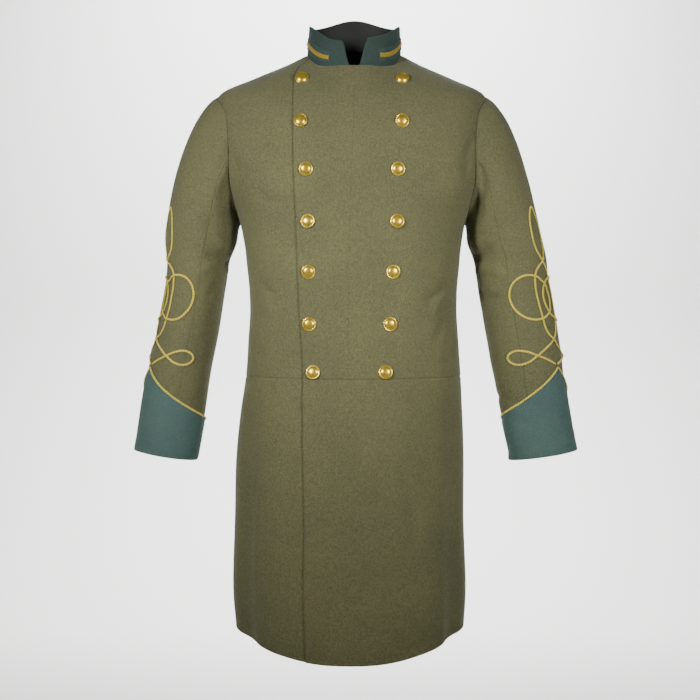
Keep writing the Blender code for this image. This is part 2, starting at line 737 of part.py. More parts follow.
def strand_samples(curve, special, closed):
    """Distances of a strand's points: closer where it turns or climbs."""
    along = distance_along(curve)
    steps = np.diff(curve, axis=0)
    heading = np.unwrap(np.arctan2(steps[:, 1], steps[:, 0]))
    turn = np.abs(np.gradient(heading)) / np.maximum(np.diff(along), 1e-9)
    density = np.maximum(1 / BRAID_STEP, turn / BRAID_TURN)
    cost = np.concatenate([[0], np.cumsum(density * np.diff(along))])
    count = max(int(round(cost[-1])), 3)
    plain = np.interp(np.linspace(0, cost[-1], count + 1), cost, along)
    marks = [m for centre in special for m in (
        centre - CROSSING_FOOT, centre - CROSSING_FLAT, centre + CROSSING_FLAT, centre + CROSSING_FOOT,
    )]
    total = along[-1]
    marks = sorted({round(m % total if closed else m, 4) for m in marks})
    marks = [m for m in marks if 0.5 < m < total - 0.5]
    kept = [p for p in plain[1:-1] if all(abs(p - m) > 3.0 for m in marks)]
    merged = []
    for value in sorted(marks + kept):
        if not merged or value - merged[-1] > 1.2:
            merged.append(value)
    return [0.0] + merged + ([] if closed else [total])


def strand_height(distance, lifts, total, closed):
    """How far a strand's underside is raised, a low hump over each crossing."""
    height = 0.0
    for centre, level in lifts:
        off = abs(distance - centre)
        if closed:
            off = min(off, total - off)
        share = (CROSSING_FOOT - off) / (CROSSING_FOOT - CROSSING_FLAT)
        height = max(height, level * min(max(share, 0.0), 1.0))
    return height


def on_sleeve(side, across, up):
    """The sleeve's angle and row under a flat place of the braid's pattern."""
    z = CUFF_POINT_Z + up
    guess = np.interp(-z, -SLEEVE_TABLE["z"], SLEEVE_TABLE["girth"])
    lean = KNOT_LEAN * (max(up, 0.0) / KNOT_HEIGHT) ** 2
    angle = CUFF_POINT_ANGLE[side] - lean + math.degrees(across / (guess / (2 * math.pi)))
    return angle, sleeve_row_at(side, angle, z * MM)


def strip(name, centres, normals, cloth, closed):
    """A flat strip of braid along points, square in section."""
    count = len(centres)
    nxt = np.roll(centres, -1, axis=0)
    prv = np.roll(centres, 1, axis=0)
    if not closed:
        nxt[-1], prv[0] = centres[-1], centres[0]
    ahead = nxt - prv
    ahead /= np.linalg.norm(ahead, axis=1)[:, None]
    sideways = np.cross(ahead, normals)
    sideways /= np.linalg.norm(sideways, axis=1)[:, None]
    half = sideways * BRAID_WIDTH / 2
    rise = normals * BRAID_THICKNESS
    rings = [centres - half, centres + half, centres + half * 0.8 + rise, centres - half * 0.8 + rise]
    points = np.stack(rings, axis=1).reshape(-1, 3)
    faces = []
    for i in range(count if closed else count - 1):
        j = (i + 1) % count
        for k in range(4):
            m = (k + 1) % 4
            faces.append((4 * i + k, 4 * i + m, 4 * j + m))
            faces.append((4 * i + k, 4 * j + m, 4 * j + k))
    if not closed:
        end = 4 * (count - 1)
        faces += [(0, 2, 1), (0, 3, 2), (end, end + 1, end + 2), (end, end + 2, end + 3)]
    mesh = bpy.data.meshes.new(name)
    mesh.from_pydata([tuple(p) for p in points], [], [tuple(reversed(f)) for f in faces])
    mesh.shade_smooth()
    mesh.set_sharp_from_angle(angle=math.radians(50))
    piece = bpy.data.objects.new(name, mesh)
    bpy.context.scene.collection.objects.link(piece)
    own_material(piece, cloth)
    return piece


def knot_curves():
    """The flat curves of the braid: the knot's strand and its two rings."""
    half = [tuple(p) for p in KNOT]
    whole = half + [(-a, u) for a, u in reversed(half[:-1])]
    rings = []
    for hand in (-1, 1):
        turns = np.radians(np.arange(0, 360, 30))
        rings.append([
            (hand * RING_ACROSS + RING_RADIUS * math.cos(t), RING_UP + RING_RADIUS * math.sin(t))
            for t in turns
        ])
    return (
        ("knot", flat_curve(whole), False),
        ("ring_back", flat_curve(rings[0], True), True),
        ("ring_front", flat_curve(rings[1], True), True),
    )


def knot_lifts(curves):
    """For each strand, its crossings and how high it passes over each."""
    over = BRAID_THICKNESS + BRAID_CLEARANCE
    plan = {name: [] for name, _, _ in curves}
    for index, (name, curve, _) in enumerate(curves):
        for _, later in crossings(curve, curve, True):
            plan[name].append((later, over))
        for below, under, _ in curves[:index]:
            for mine, theirs in crossings(curve, under, False):
                total = distance_along(under)[-1]
                already = strand_height(theirs, plan[below], total, below != "knot")
                plan[name].append((mine, already + over))
    return plan


def build_braid():
    """The raised knot on each sleeve and the piping on each cuff's top."""
    curves = knot_curves()
    plan = knot_lifts(curves)
    for side, hand in ((1, "left"), (-1, "right")):
        for name, curve, closed in curves:
            along = distance_along(curve)
            special = [centre for centre, _ in plan[name]]
            centres, normals = [], []
            for d in strand_samples(curve, special, closed):
                across = np.interp(d, along, curve[:, 0])
                up = np.interp(d, along, curve[:, 1])
                angle, row = on_sleeve(side, across, up)
                point, n = sleeve_skin(side, angle, row)
                raised = BRAID_CLEARANCE + strand_height(d, plan[name], along[-1], closed)
                centres.append(point + n * raised)
                normals.append(n)
            strip(f"braid_{name}_{hand}", np.array(centres), np.array(normals), "braid", closed)
        build_cuff_piping(side, hand)


def build_cuff_piping(side, hand):
    """A line of braid on the cuff, just inside its top edge."""
    centres, normals = [], []
    inset = 1.5 * BRAID_WIDTH / 2
    for b in cuff_columns(side):
        row = sleeve_row_at(side, b, cuff_top(side, b) - inset)
        point, n = sleeve_skin(side, b, row)
        centres.append(point + n * (CUFF_GAP + CUFF_THICKNESS + PIPING_CLEARANCE))
        normals.append(n)
    strip(f"cuff_piping_{hand}", np.array(centres), np.array(normals), "braid", False)


def collar_point(angle, share):
    """A point of the collar's outer face, from its seam (0) to its top (1)."""
    s = {name: smooth(values, 2 * share) for name, values in COLLAR_TABLE.items()}
    along, across = math.cos(math.radians(angle)), math.sin(math.radians(angle))
    z = ring_height(angle, s) + s["skew"] * math.sin(math.radians(3 * angle)) * max(along, 0.0) ** 2
    r = superellipse(angle, s["half_width"], s["front"], s["back"], 2.0)
    return np.array([r * across + s["shift"], -r * along, z]) * MM


def collar_edge(share, column):
    """The angle of the collar's front edge at a share of its height."""
    shares = [row[0] for row in COLLAR_EDGE]
    across = np.interp(share, shares, [row[column] for row in COLLAR_EDGE])
    front = smooth(COLLAR_TABLE["front"], 2 * share)
    half_width = smooth(COLLAR_TABLE["half_width"], 2 * share)
    return math.degrees(math.atan2(across, front * math.sqrt(1 - (across / half_width) ** 2)))


def patch_angles():
    step = (PATCH_TO - PATCH_FROM) / PATCH_COLUMNS
    return [PATCH_FROM + step * k for k in range(PATCH_COLUMNS + 1)]


def build_collar():
    """The standing collar, open in front, with a patch and bar on each side."""
    grid = []
    for share in (0.0, 0.3, 0.6, 0.85, 1.0):
        start, end = collar_edge(share, 2), 360 + collar_edge(share, 1)
        patch = patch_angles()
        back = [360 - a for a in reversed(patch)]
        row = spread(start, patch[0], 2) + patch[:-1] + spread(patch[-1], back[0], 10) + back
        row += spread(back[-1], end, 2)[1:] + [end]
        grid.append([(a, share) for a in row])
    surface_wall("collar", collar_point, grid, COLLAR_THICKNESS, "collar_cloth")
    patch_lift = SEAM_GAP + PATCH_THICKNESS
    bar_lift = patch_lift + SEAM_GAP + BAR_THICKNESS
    for side, hand in ((1, "left"), (-1, "right")):
        angles = [side * a for a in patch_angles()]
        patch = [[(a, share) for a in angles] for share in (PATCH_LOW, PATCH_HIGH)]
        surface_wall(
            f"collar_patch_{hand}", collar_point, patch, PATCH_THICKNESS, "facing",
            lambda u, v: patch_lift,
        )
        ends = [side * (PATCH_FROM + 1.5)] + angles[1:-1] + [side * (PATCH_TO - 2.5)]
        bar = [[(a, share) for a in ends] for share in (BAR_LOW, BAR_HIGH)]
        surface_wall(
            f"collar_bar_{hand}", collar_point, bar, BAR_THICKNESS, "braid",
            lambda u, v: bar_lift,
        )


def button_mesh():
    """A domed metal button turned about +Z, its flat back at z = 0."""
    profile = ((0.92, 0.0), (1.0, 0.2), (0.92, 0.42), (0.84, 0.40), (0.55, 0.80))
    points = [(0.0, 0.0, 0.0)]
    for radius, height in profile:
        for k in range(BUTTON_SIDES):
            turn = 2 * math.pi * k / BUTTON_SIDES
            points.append((
                BUTTON_RADIUS * radius * math.cos(turn), BUTTON_RADIUS * radius * math.sin(turn),
                BUTTON_HEIGHT * height,
            ))
    points.append((0.0, 0.0, BUTTON_HEIGHT))
    top = len(points) - 1
    faces = []
    for k in range(BUTTON_SIDES):
        m = (k + 1) % BUTTON_SIDES
        faces.append((0, 1 + m, 1 + k))
        for ring in range(len(profile) - 1):
            a, b = 1 + ring * BUTTON_SIDES + k, 1 + ring * BUTTON_SIDES + m
            faces.append((a, b, b + BUTTON_SIDES, a + BUTTON_SIDES))
        last = 1 + (len(profile) - 1) * BUTTON_SIDES
        faces.append((last + k, last + m, top))
    mesh = bpy.data.meshes.new("button")
    mesh.from_pydata(points, [], faces)
    mesh.shade_smooth()
    mesh.set_sharp_from_angle(angle=math.radians(45))
    return mesh


def front_place(z, across):
    """The angle and level of a place on the front, by halving its height."""
    low, high = 4.5, float(NECK)
    for _ in range(HALVINGS):
        level = (low + high) / 2
        if body_point(front_angle(level, across), level)[2] < z * MM:
            low = level
        else:
            high = level
    return front_angle(level, across), level


def build_buttons():
    """Two columns of seven buttons on the outer front."""
    mesh = button_mesh()
    for number, (z, right, left) in enumerate(BUTTONS, start=1):
        for across, hand in ((right, "right"), (left, "left")):
            angle, level = front_place(z, across)
            n = normal_of(body_point, angle, level)
            place = body_point(angle, level) + n * (front_lap(angle, level) + 2 * SEAM_GAP)
            piece = bpy.data.objects.new(f"button_{hand}_{number}", mesh)
            bpy.context.scene.collection.objects.link(piece)
            turn = Vector(n).to_track_quat("Z", "Y").to_matrix().to_4x4()
            piece.matrix_world = Matrix.Translation(Vector(place)) @ turn
    own_material(piece, "brass")


def main():
    clear_scene()
    build_fronts()
    build_side_bodies()
    build_backs()
    build_skirts()
    build_sleeves()
    build_cuffs()
    build_collar()
    build_buttons()
    build_braid()
    bpy.context.view_layer.update()


main()
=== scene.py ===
"""The looks of a double-breasted frock coat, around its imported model.

Metres, +Z up. The front faces -Y and the wearer's left is +X. Every cloth
piece is a thin shell on the form of the solid that it replaces: the same
sections, seams and folds, worked out on a finer grid, with the small creases,
rolled edges and seam grooves that the solid leaves out.
"""

import math
from functools import cache

import bpy
import numpy as np
from mathutils import Matrix, Vector


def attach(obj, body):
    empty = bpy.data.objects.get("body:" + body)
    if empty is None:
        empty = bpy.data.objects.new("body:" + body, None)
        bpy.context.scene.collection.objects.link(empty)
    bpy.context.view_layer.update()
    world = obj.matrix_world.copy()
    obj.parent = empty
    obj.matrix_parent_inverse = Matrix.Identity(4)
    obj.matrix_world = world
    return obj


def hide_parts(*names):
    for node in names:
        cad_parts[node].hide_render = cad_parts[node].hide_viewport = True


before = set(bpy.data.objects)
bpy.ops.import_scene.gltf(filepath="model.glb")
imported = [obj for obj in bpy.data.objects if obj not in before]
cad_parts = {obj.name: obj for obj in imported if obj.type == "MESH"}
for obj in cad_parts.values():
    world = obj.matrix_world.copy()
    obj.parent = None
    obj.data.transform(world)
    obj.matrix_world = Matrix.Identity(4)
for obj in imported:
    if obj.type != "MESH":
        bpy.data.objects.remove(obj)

bl_info = {
    "name": "Frock coat",
    "version": (1, 0, 0),
    "blender": (4, 5, 0),
    "location": "3D View > Sidebar > Coat",
    "description": "Builds a double-breasted frock coat with braided sleeves",
    "category": "Add Mesh",
}

MM = 0.001
BODY_NAME = "root"

# Sewn panels meet inside their seams, so each reaches a little into its
# neighbour where the solids leave a gap.
SEAM_TUCK, SLEEVE_TUCK, COLLAR_TUCK = 0.15 * MM, 0.5 * MM, 0.03
VENT_HALF_LAP = 4.0
LAP_FADE_FROM, LAP_FADE = 1.0, 17.0
VENT_FADE_FROM, VENT_FADE = 160.0, 12.0
SLEEVE_SEAM_TRIM = 0.15
CUFF_SEAM_TRIM = 0.3
VENT_TOP, VENT_RISE = (4.4, 4.7), 0.3
TOP_GAP = 0.05
HALVINGS = 36
HANDS = ((1, "left"), (-1, "right"))
BLACK, WHITE = (0, 0, 0), (1, 1, 1)

# Sizes in metres by which the grids of the pieces are divided.
HALF_ARMHOLE = 0.29
TOP_SLEEVE_WIDTH, UNDER_SLEEVE_WIDTH = 0.26, 0.18
CUFF_DEPTH, CUFF_BEHIND, CUFF_AHEAD = 0.10, 0.135, 0.215
COLLAR_HEIGHT, COLLAR_RADIUS = 0.055, 0.080
PATCH_HEIGHT, BAR_HEIGHT = 0.024, 0.008

# Grid of the cloth: closer lines beside every edge, in millimetres from it,
# as long as they stay within this share of the panel.
EDGE_LINES, EDGE_SHARE = (0.35, 0.9, 1.7, 2.8, 4.4), 0.3
# Points by which a line is measured before it is divided, and how far a body
# panel is taken wider than it measures.
FINE_BODY, FINE_SLEEVE, FINE_CURVE, PANEL_EASE = 240, 400, 40, 1.06

# The line that the outer front's edge presses into the one under it: depth in
# metres, offset and half width in millimetres, and millimetres in a degree.
PRESSED_DEPTH, PRESSED_OFFSET, PRESSED_HALF_WIDTH = 1.9 * MM, 1.0, 3.2
DEGREE_IN_FRONT = 2.75

# The tables' crease depths are carried this much deeper on the cloth. A degree
# is so many millimetres on the body and on a sleeve.
CREASE_SCALE, BODY_DEGREE, SLEEVE_DEGREE = 1.9, 3.2, 1.12
# In shares of a crease's length: how far it bows, how far it goes on past its
# ends and over how much it fades. Last, how much it swells along its length.
CREASE_BOW, CREASE_PAST, CREASE_FADE, CREASE_SWELL = 0.12, 0.15, 0.45, 0.3
# Slow waves, in millimetres: the half width and depth that turn an angle into
# a distance, their size, and their height on the body and what the skirts add.
WAVE_WIDTH, WAVE_DEPTH, WAVE_SIZE, WAVE_HEIGHT = 190, 110, 30, 0.7
SKIRT_WAVE_TOP, SKIRT_WAVE_FADE, SKIRT_WAVE_HEIGHT = -560, 160, 0.4
# Puckers along the waist seam: height on the coat, half width, size, depth.
PUCKER_Z, PUCKER_HALF, PUCKER_SIZE, PUCKER_HEIGHT = -578, 14, 7, 0.25
SLEEVE_WAVE_SIZE, COLLAR_WAVE_SIZE, COLLAR_WAVE_HEIGHT = 17, 14, 0.35
# The ridge where a sleeve's head rolls over its seam: height in metres, and
# its middle and half width in rows of the sleeve.
ROLL_HEIGHT, ROLL_ROW, ROLL_HALF = 0.7 * MM, 0.075, 0.055

# How far the cloth sinks at an edge and over what width, in millimetres, and
# how far its inner face closes on the outer one, of which it takes a share.
CLOSING_SHARE = 0.6
EDGES = {
    "seam": (0.75, 3.6, 0.0),
    "faint": (0.6, 2.4, 0.0),
    "sleeve": (0.25, 3.0, 0.0),
    "cap": (0.35, 3.4, 0.0),
    "waist": (1.25, 4.0, 0.0),
    "lapel": (1.2, 2.6, 0.3),
    "free": (0.75, 1.8, 0.75),
    "under": (0.5, 1.5, 0.5),
}

# Horizontal sections of the body, hem to neck, in millimetres.
# z_front, z_side and z_back are the heights of one cloth level at the front,
# side and back; squareness is the power of the section's superellipse.
# lapel_edge, lapel_seam and underlap are distances from the middle across
# the front; back_seam is the distance of the seam from the centre back; shift
# moves the whole section sideways; flatness is the power by which the front's
# height carries towards the sides.
BODY_COLUMNS = (
    "name", "z_front", "z_side", "z_back", "half_width", "front", "back", "squareness",
    "lapel_edge", "lapel_seam", "underlap", "back_seam", "shift", "flatness",
)
BODY = (
    ("hem", -1051, -1010, -1042, 199, 156, 166, 2.2, -74, -1, 91, 64, -4, 2.8),
    ("low skirt", -940, -934, -936, 205, 154, 158, 2.2, -76, -1, 91, 60, -5, 2),
    ("skirt", -820, -820, -818, 202, 151, 148, 2.2, -75, -1, 91, 55, -5, 2),
    ("hip", -720, -720, -716, 202, 147, 136, 2.25, -78, -3, 89, 50, -4, 2),
    ("upper hip", -640, -638, -636, 197, 143, 123, 2.3, -82, -6.5, 86, 46, -1, 2),
    ("waist", -574, -570, -566, 191, 139, 112, 2.35, -85, -9.5, 81.5, 42, 2.5, 2),
    ("ribs", -510, -508, -506, 187, 138, 110, 2.4, -87.5, -8.5, 83.5, 49, 2.5, 2),
    ("low chest", -445, -445, -443, 183.5, 139, 114, 2.4, -91.5, -7.5, 85.5, 68, 2.5, 2),
    ("chest", -375, -375, -373, 189, 141, 122, 2.45, -94.5, -7, 89.5, 105, 2.5, 2),
    ("underarm", -298, -298, -298, 200, 142, 128, 2.5, -96, -4.5, 92.5, 160, 1.5, 2),
    ("low armhole", -262, -225, -262, 229, 141, 130, 2.5, -97.5, -2.5, 96.5, 207, 0.5, 2),
    ("mid armhole", -228, -160, -222, 239, 139, 131, 2.45, -98.5, -0.5, 99, 213, 0, 2),
    ("high armhole", -196, -107, -180, 240, 135, 130, 2.2, -99, 0.5, 100, 215, 0, 2),
    ("shoulder tip", -160, -70, -134, 235, 127, 124, 2.0, -99.5, 2, 102, 215, 0, 2),
    ("mid shoulder", -118, -43, -86, 179, 115, 112, 1.95, -101.5, 2.5, 96.5, 150, 1.5, 2.2),
    ("near neck", -73, -18, -32, 122, 98, 91, 1.98, -99, 2, 77, 100, 3, 3.2),
    ("neck seam", -33, 2, 22, 84, 80, 62, 2.0, -78, 0.5, 52, 60, 4, 7),
)
WAIST, UNDERARM, ARMHOLE_JOIN, TIP, NECK = 5, 9, 10, 13, 16

# The armhole is an ellipse in height and depth, a little fuller in front.
ARMHOLE_FRONT_REACH, ARMHOLE_BACK_REACH = 84, 74
ARMHOLE_MIDDLE, ARMHOLE_LEAN = 4, 14
FRONT_SLEEVE_SEAM, BACK_SLEEVE_SEAM = 104, 256
SIDE_SEAM_AT_WAIST = 100.0
SHOULDER_SEAM_AT_NECK = 97.0

# Soft drape folds and pleats of the skirts, as in the solids.
# Columns: side, angle_top, angle_foot, half_width, depth_top, depth_foot, z_top.
FOLD_FOOT = -1060
FOLDS = (
    (1, 152, 150, 10, 4, 13, -574),
    (-1, 152, 150, 10, 4, 13, -574),
    (1, 139, 135, 9, -3, -13, -574),
    (-1, 139, 135, 9, -3, -13, -574),
    (1, 125, 121, 10, 1, 10, -590),
    (-1, 124, 119, 10, 1, 10, -590),
    (1, 66, 65, 10, -2, -6, -600),
    (-1, 64, 64, 10, -2, -6, -585),
    (1, 80, 82, 12, 0, 4, -600),
    (-1, 79, 80, 12, 0, 4, -600),
    (1, 102, 102, 12, -1, -8, -610),
    (-1, 100, 100, 12, -1, -8, -610),
    (1, 47, 50, 14, 0, 4, -640),
    (-1, 45, 47, 13, 0, 3, -640),
)

# Creases of the body. Columns: angle and height where the
# crease starts, angle and height where it ends, half width and depth in
# millimetres. A negative depth is a trough and a positive one a ridge.
BODY_CREASES = (
    (-14, -655, -13, -800, 9, -1.3),
    (-8, -850, -3, -950, 12, -1.2),
    (-36, -594, -29, -624, 9, 1.5),
    (-40, -600, -33, -632, 7, -1.1),
    (-58, -590, -50, -598, 6, -1.3),
    (20, -640, 22, -860, 16, 1.2),
    (31, -700, 33, -900, 15, -1.1),
    (-47, -720, -46, -980, 13, 1.0),
    (62, -405, 47, -440, 8, -1.6),
    (64, -425, 52, -466, 7, 1.2),
    (60, -455, 50, -520, 9, -1.0),
    (57, -240, 34, -262, 9, -1.3),
    (60, -205, 44, -196, 8, 1.0),
    (-57, -250, -38, -276, 9, -1.2),
    (-60, -215, -47, -205, 8, 0.9),
    (-64, -400, -50, -428, 8, -1.3),
    (-66, -440, -52, -470, 8, 1.0),
    (-70, -500, -56, -545, 8, -1.1),
    (70, -500, 58, -552, 8, -1.2),
    (36, -330, 30, -540, 16, -0.9),
    (-38, -330, -33, -540, 16, -0.8),
    (88, -330, 84, -420, 8, -1.6),
    (-87, -330, -83, -415, 8, -1.5),
    (96, -505, 118, -545, 9, -1.6),
    (-96, -500, -118, -540, 9, -1.5),
    (120, -250, 140, -230, 11, -1.7),
    (-121, -254, -141, -232, 11, -1.6),
    (124, -280, 146, -275, 9, 1.3),
    (-124, -282, -146, -278, 9, 1.2),
    (118, -460, 150, -470, 10, -1.5),
    (-118, -455, -150, -468, 10, -1.4),
    (125, -500, 158, -515, 9, 1.2),
    (-124, -498, -157, -512, 9, 1.1),
    (168, -70, 192, -72, 9, -1.2),
    (-27, -786, -22, -784, 3, -1.3),
    (70, -150, 66, -238, 7, -1.9),
    (-70, -170, -67, -240, 7, -1.3),
)

# Sections of a sleeve below its cap, in millimetres: height, distance of the
# inner and of the outer side on the wearer's right and on the left, place of
# the middle in depth, girth, and how far the outer side lies above.
SLEEVE_COLUMNS = (
    "name", "z", "inner_right", "outer_right", "inner_left", "outer_left", "middle", "girth", "rise",
)
SLEEVE = (
    ("upper arm", -335, 207, 330, 207, 341, 0, 422, 0),
    ("above elbow", -366, 219, 329, 219, 348, 3, 402, 1),
    ("elbow", -402, 224, 330, 224, 352, 4, 396, 2),
    ("forearm", -470, 235, 341, 235, 363, -2, 388, 4),
    ("mid forearm", -540, 247, 356, 247, 371, -14, 374, 6),
    ("above cuff", -610, 257, 367, 259, 378, -29, 356, 8),
    ("cuff", -665, 264, 373, 270, 385, -41, 347, 9),
    ("wrist", -706, 270, 378, 278, 392, -50, 344, 9),
)
SLEEVE_CAP_PULL = {1: 0.72, -1: 0.68}
SLEEVE_END_PULL = 0.85
# How a sleeve leaves the armhole for one part outwards: forwards at its front,
# down at its outer side, and how much steeper under the arm.
LEAVE_FORWARD, LEAVE_DOWN, LEAVE_STEEPER = 0.34, 0.52, 0.27
SLEEVE_END = float(len(SLEEVE))

# Creases of the sleeves by side, as the body's, with the angle round the arm:
# 0 outside, 90 in front, 180 inside, 270 behind.
SLEEVE_CREASES = {
    1: (
        (182, -356, 120, -346, 8, -2.6),
        (178, -384, 104, -398, 9, 1.8),
        (174, -414, 118, -432, 8, -1.7),
        (152, -180, 140, -310, 12, -2.6),
        (122, -195, 114, -285, 12, 1.7),
        (96, -470, 112, -540, 12, -1.2),
        (36, -290, 50, -380, 14, 1.1),
        (214, -376, 262, -398, 8, -2.1),
        (218, -348, 268, -362, 9, 1.7),
        (240, -418, 290, -434, 9, -1.6),
        (300, -250, 286, -330, 13, -1.5),
        (108, -172, 152, -290, 12, -2.8),
        (100, -168, 126, -300, 10, 1.4),
        (98, -296, 142, -330, 10, -1.1),
        (22, -650, 342, -648, 7, -1.7),
        (24, -672, 344, -668, 7, 1.3),
        (20, -688, 346, -686, 5, -0.9),
        (140, -640, 100, -668, 9, -0.7),
    ),
    -1: (
        (186, -366, 112, -360, 6, -3.4),
        (180, -378, 96, -392, 9, 1.9),
        (176, -345, 118, -330, 9, 2.3),
        (178, -412, 120, -430, 9, -1.6),
        (150, -180, 138, -300, 12, -2.6),
        (120, -190, 112, -290, 12, 1.8),
        (60, -440, 78, -520, 13, -1.2),
        (30, -300, 44, -380, 14, 1.2),
        (214, -380, 262, -402, 8, -2.2),
        (218, -350, 268, -366, 9, 1.8),
        (240, -420, 290, -436, 9, -1.6),
        (300, -250, 286, -330, 13, -1.6),
        (108, -172, 152, -280, 11, -2.6),
        (96, -300, 140, -335, 10, -1.2),
        (150, -655, 96, -640, 8, -0.9),
        (16, -676, 344, -672, 7, -1.0),
    ),
}

# The pointed cuff: angle of the point by the sleeve's side, and the heights at
# the point and at the lowest place of its top.
CUFF_POINT_ANGLE = {1: 43, -1: 34}
CUFF_POINT_Z, CUFF_LOW_Z = -552, -644

# Half of the sleeve's braid knot, from the cuff's point to the top of its
# highest loop, in millimetres. Columns: across, up.
KNOT = (
    (2.2, 3.6), (19, 11.5), (36, 18.5), (52, 25), (68, 27), (81, 22.5), (87, 14),
    (81, 5.5), (68, 2.5), (52, 7), (36, 18.5), (18, 32), (0, 46), (-13, 64),
    (-18, 88), (-21, 114), (-22, 140), (-17, 166), (0, 187), (11, 203), (15, 224),
    (12, 253), (0, 279),
)
RING_ACROSS, RING_UP, RING_RADIUS = 31, 120, 39
KNOT_LEAN = 5.0
KNOT_HEIGHT = 279
CROSSING_FOOT, CROSSING_TOP = 13.0, 2.5
KNOT_STEP = 1.5

# The braid's cord, in metres: sides and length of a step of its tube, length
# of a turn of its two plies and how much they swell its edge. Then how much of
# its width each end rounds off over, and what it narrows to, how high its
# middle lies in half heights, and what it is raised by where it crosses.
CORD_SIDES, CORD_STEP = 12, 1.3 * MM
PLY_LENGTH, PLY_SWELL = 5.2 * MM, 0.085
CORD_ROUND, CORD_END, CORD_MIDDLE, CROSSING_RISE = 0.4, 0.05, 0.92, 0.95
# How far the braid, the cuffs and the piping stand off what they lie on, and
# how far the piping lies under the cuff's top, in widths of the braid.
BRAID_LIFT, CUFF_LIFT, PIPING_LIFT, PIPING_DROP = 0.15 * MM, 0.35 * MM, 0.3 * MM, 0.6

# Standing collar, millimetres, from its seam to its top: as the body's
# sections, and how far its left front stands above its right front.
COLLAR_COLUMNS = (
    "name", "z_front", "z_side", "z_back", "half_width", "front", "back", "shift", "flatness",
    "skew",
)
COLLAR = (
    ("seam", -32.4, 2.6, 22.6, 83.4, 79.4, 61.4, 4, 7, 0),
    ("middle", -11, 27.5, 50.5, 82.3, 82, 60.5, 4.5, 5, 3.5),
    ("top", 12, 52, 78, 81, 84, 58, 4.5, 2.8, 3.5),
)
# Front edge of the collar. Columns: share of the height, then the distance
# across the front of the edge on the wearer's right and on the left.
COLLAR_EDGE = (
    (0.0, -9, 9), (0.3, -13, 12.5), (0.6, -16, 16), (0.85, -18.5, 20), (1.0, -22.5, 24),
)
PATCH_FROM, PATCH_TO = 31.0, 87.0
BAR_FROM, BAR_TO = 32.5, 84.5
PATCH_LIFT, BAR_LIFT, PATCH_THICKNESS = 1.35 * MM, 2.6 * MM, 1.2 * MM
PATCH_LOW, PATCH_HIGH = 0.17, 0.61
BAR_LOW, BAR_HIGH = 0.315, 0.465

# Buttons. Columns: height, distance from the middle of the column on the
# wearer's right, and of the one on the left, then the tilt of each in degrees.
BUTTONS = (
    (-56, -89, 84, 5, -4),
    (-136, -87, 85, -6, 5),
    (-219.5, -77.5, 77, 4, 3),
    (-307, -75.5, 74, -5, -6),
    (-392, -76, 66.5, 6, 2),
    (-480, -74.5, 61.5, 3, 4),
    (-561, -68, 53.5, -6, -5),
)
# Outline of a button from its back to its middle. Columns: share of the
# radius, share of the height.
BUTTON_PROFILE = (
    (0.0, 0.06), (0.70, 0.06), (0.90, 0.02), (0.97, 0.05), (1.0, 0.15), (1.0, 0.27),
    (0.975, 0.36), (0.94, 0.40), (0.90, 0.395), (0.87, 0.365), (0.845, 0.37),
    (0.82, 0.43), (0.74, 0.60), (0.60, 0.79), (0.43, 0.92), (0.22, 0.985), (0.0, 1.0),
)
BUTTON_SIDES = 56
BUTTON_LIFT = 0.5 * MM
# How far a button turns on its shank from the cloth's own slope to the front.
SHANK_TURN = 0.55

# The stage, in metres. Columns of the lights: name, place, what they face,
# size, spread in radians and power in watts.
CAMERA_ACROSS = -0.0034
CHEST, WALL = (0, 0, -0.38), (0, 3.4, -0.3)
LIGHTS = (
    ("key", (-1.45, -1.75, 0.20), CHEST, 0.35, 0.80, 3.5),
    ("fill", (1.3, -1.8, -0.05), CHEST, 0.5, 0.85, 3.0),
    ("rim_left", (-1.9, 0.8, -0.4), CHEST, 1.2, 2.0, 1.2),
    ("rim_right", (1.9, 0.8, -0.4), CHEST, 1.2, 2.0, 1.2),
    ("backdrop", (0.0, 1.8, 2.0), WALL, 2.6, 2.0, 210.0),
)
WORLD_STRENGTH = 0.12


def colour_prop(**values):
    """A colour property."""
    return bpy.props.FloatVectorProperty(subtype="COLOR", size=3, min=0.0, max=1.0, **values)


def length_prop(**values):
    """A length property."""
    return bpy.props.FloatProperty(subtype="DISTANCE", unit="LENGTH", precision=4, **values)


class CoatCloth(bpy.types.PropertyGroup):
    """Sizes and colours of the cloth."""

    wool: colour_prop(
        name="Wool", description="Colour of the coat's wool", default=(0.131, 0.129, 0.062))
    facing: colour_prop(
        name="Cuffs", description="Colour of the cuffs and patches", default=(0.078, 0.132, 0.118))
    collar: colour_prop(
        name="Collar", description="Colour of the collar's cloth", default=(0.043, 0.068, 0.059))
    lining: colour_prop(
        name="Lining", description="Colour of the inside", default=(0.020, 0.022, 0.018))
    thickness: length_prop(
        name="Wool thickness", description="Thickness of a wool panel",
        default=2.0 * MM, min=1.0 * MM, max=3.0 * MM)
    cuff_thickness: length_prop(
        name="Cuff thickness", description="Thickness of a cuff",
        default=1.6 * MM, min=1.0 * MM, max=3.0 * MM)
    collar_thickness: length_prop(
        name="Collar thickness", description="Thickness of the standing collar",
        default=3.0 * MM, min=1.0 * MM, max=4.0 * MM)
    lap_raise: length_prop(
        name="Front lap", description="How far the outer front stands proud",
        default=2.5 * MM, min=2.2 * MM, max=5.0 * MM)
    vent_raise: length_prop(
        name="Vent lap", description="How far the back vent's outer side stands proud",
        default=3.0 * MM, min=2.2 * MM, max=5.0 * MM)
    cell: length_prop(
        name="Cloth cell", description="Spacing of the cloth's grid",
        default=4.8 * MM, min=3.0 * MM, max=20.0 * MM)


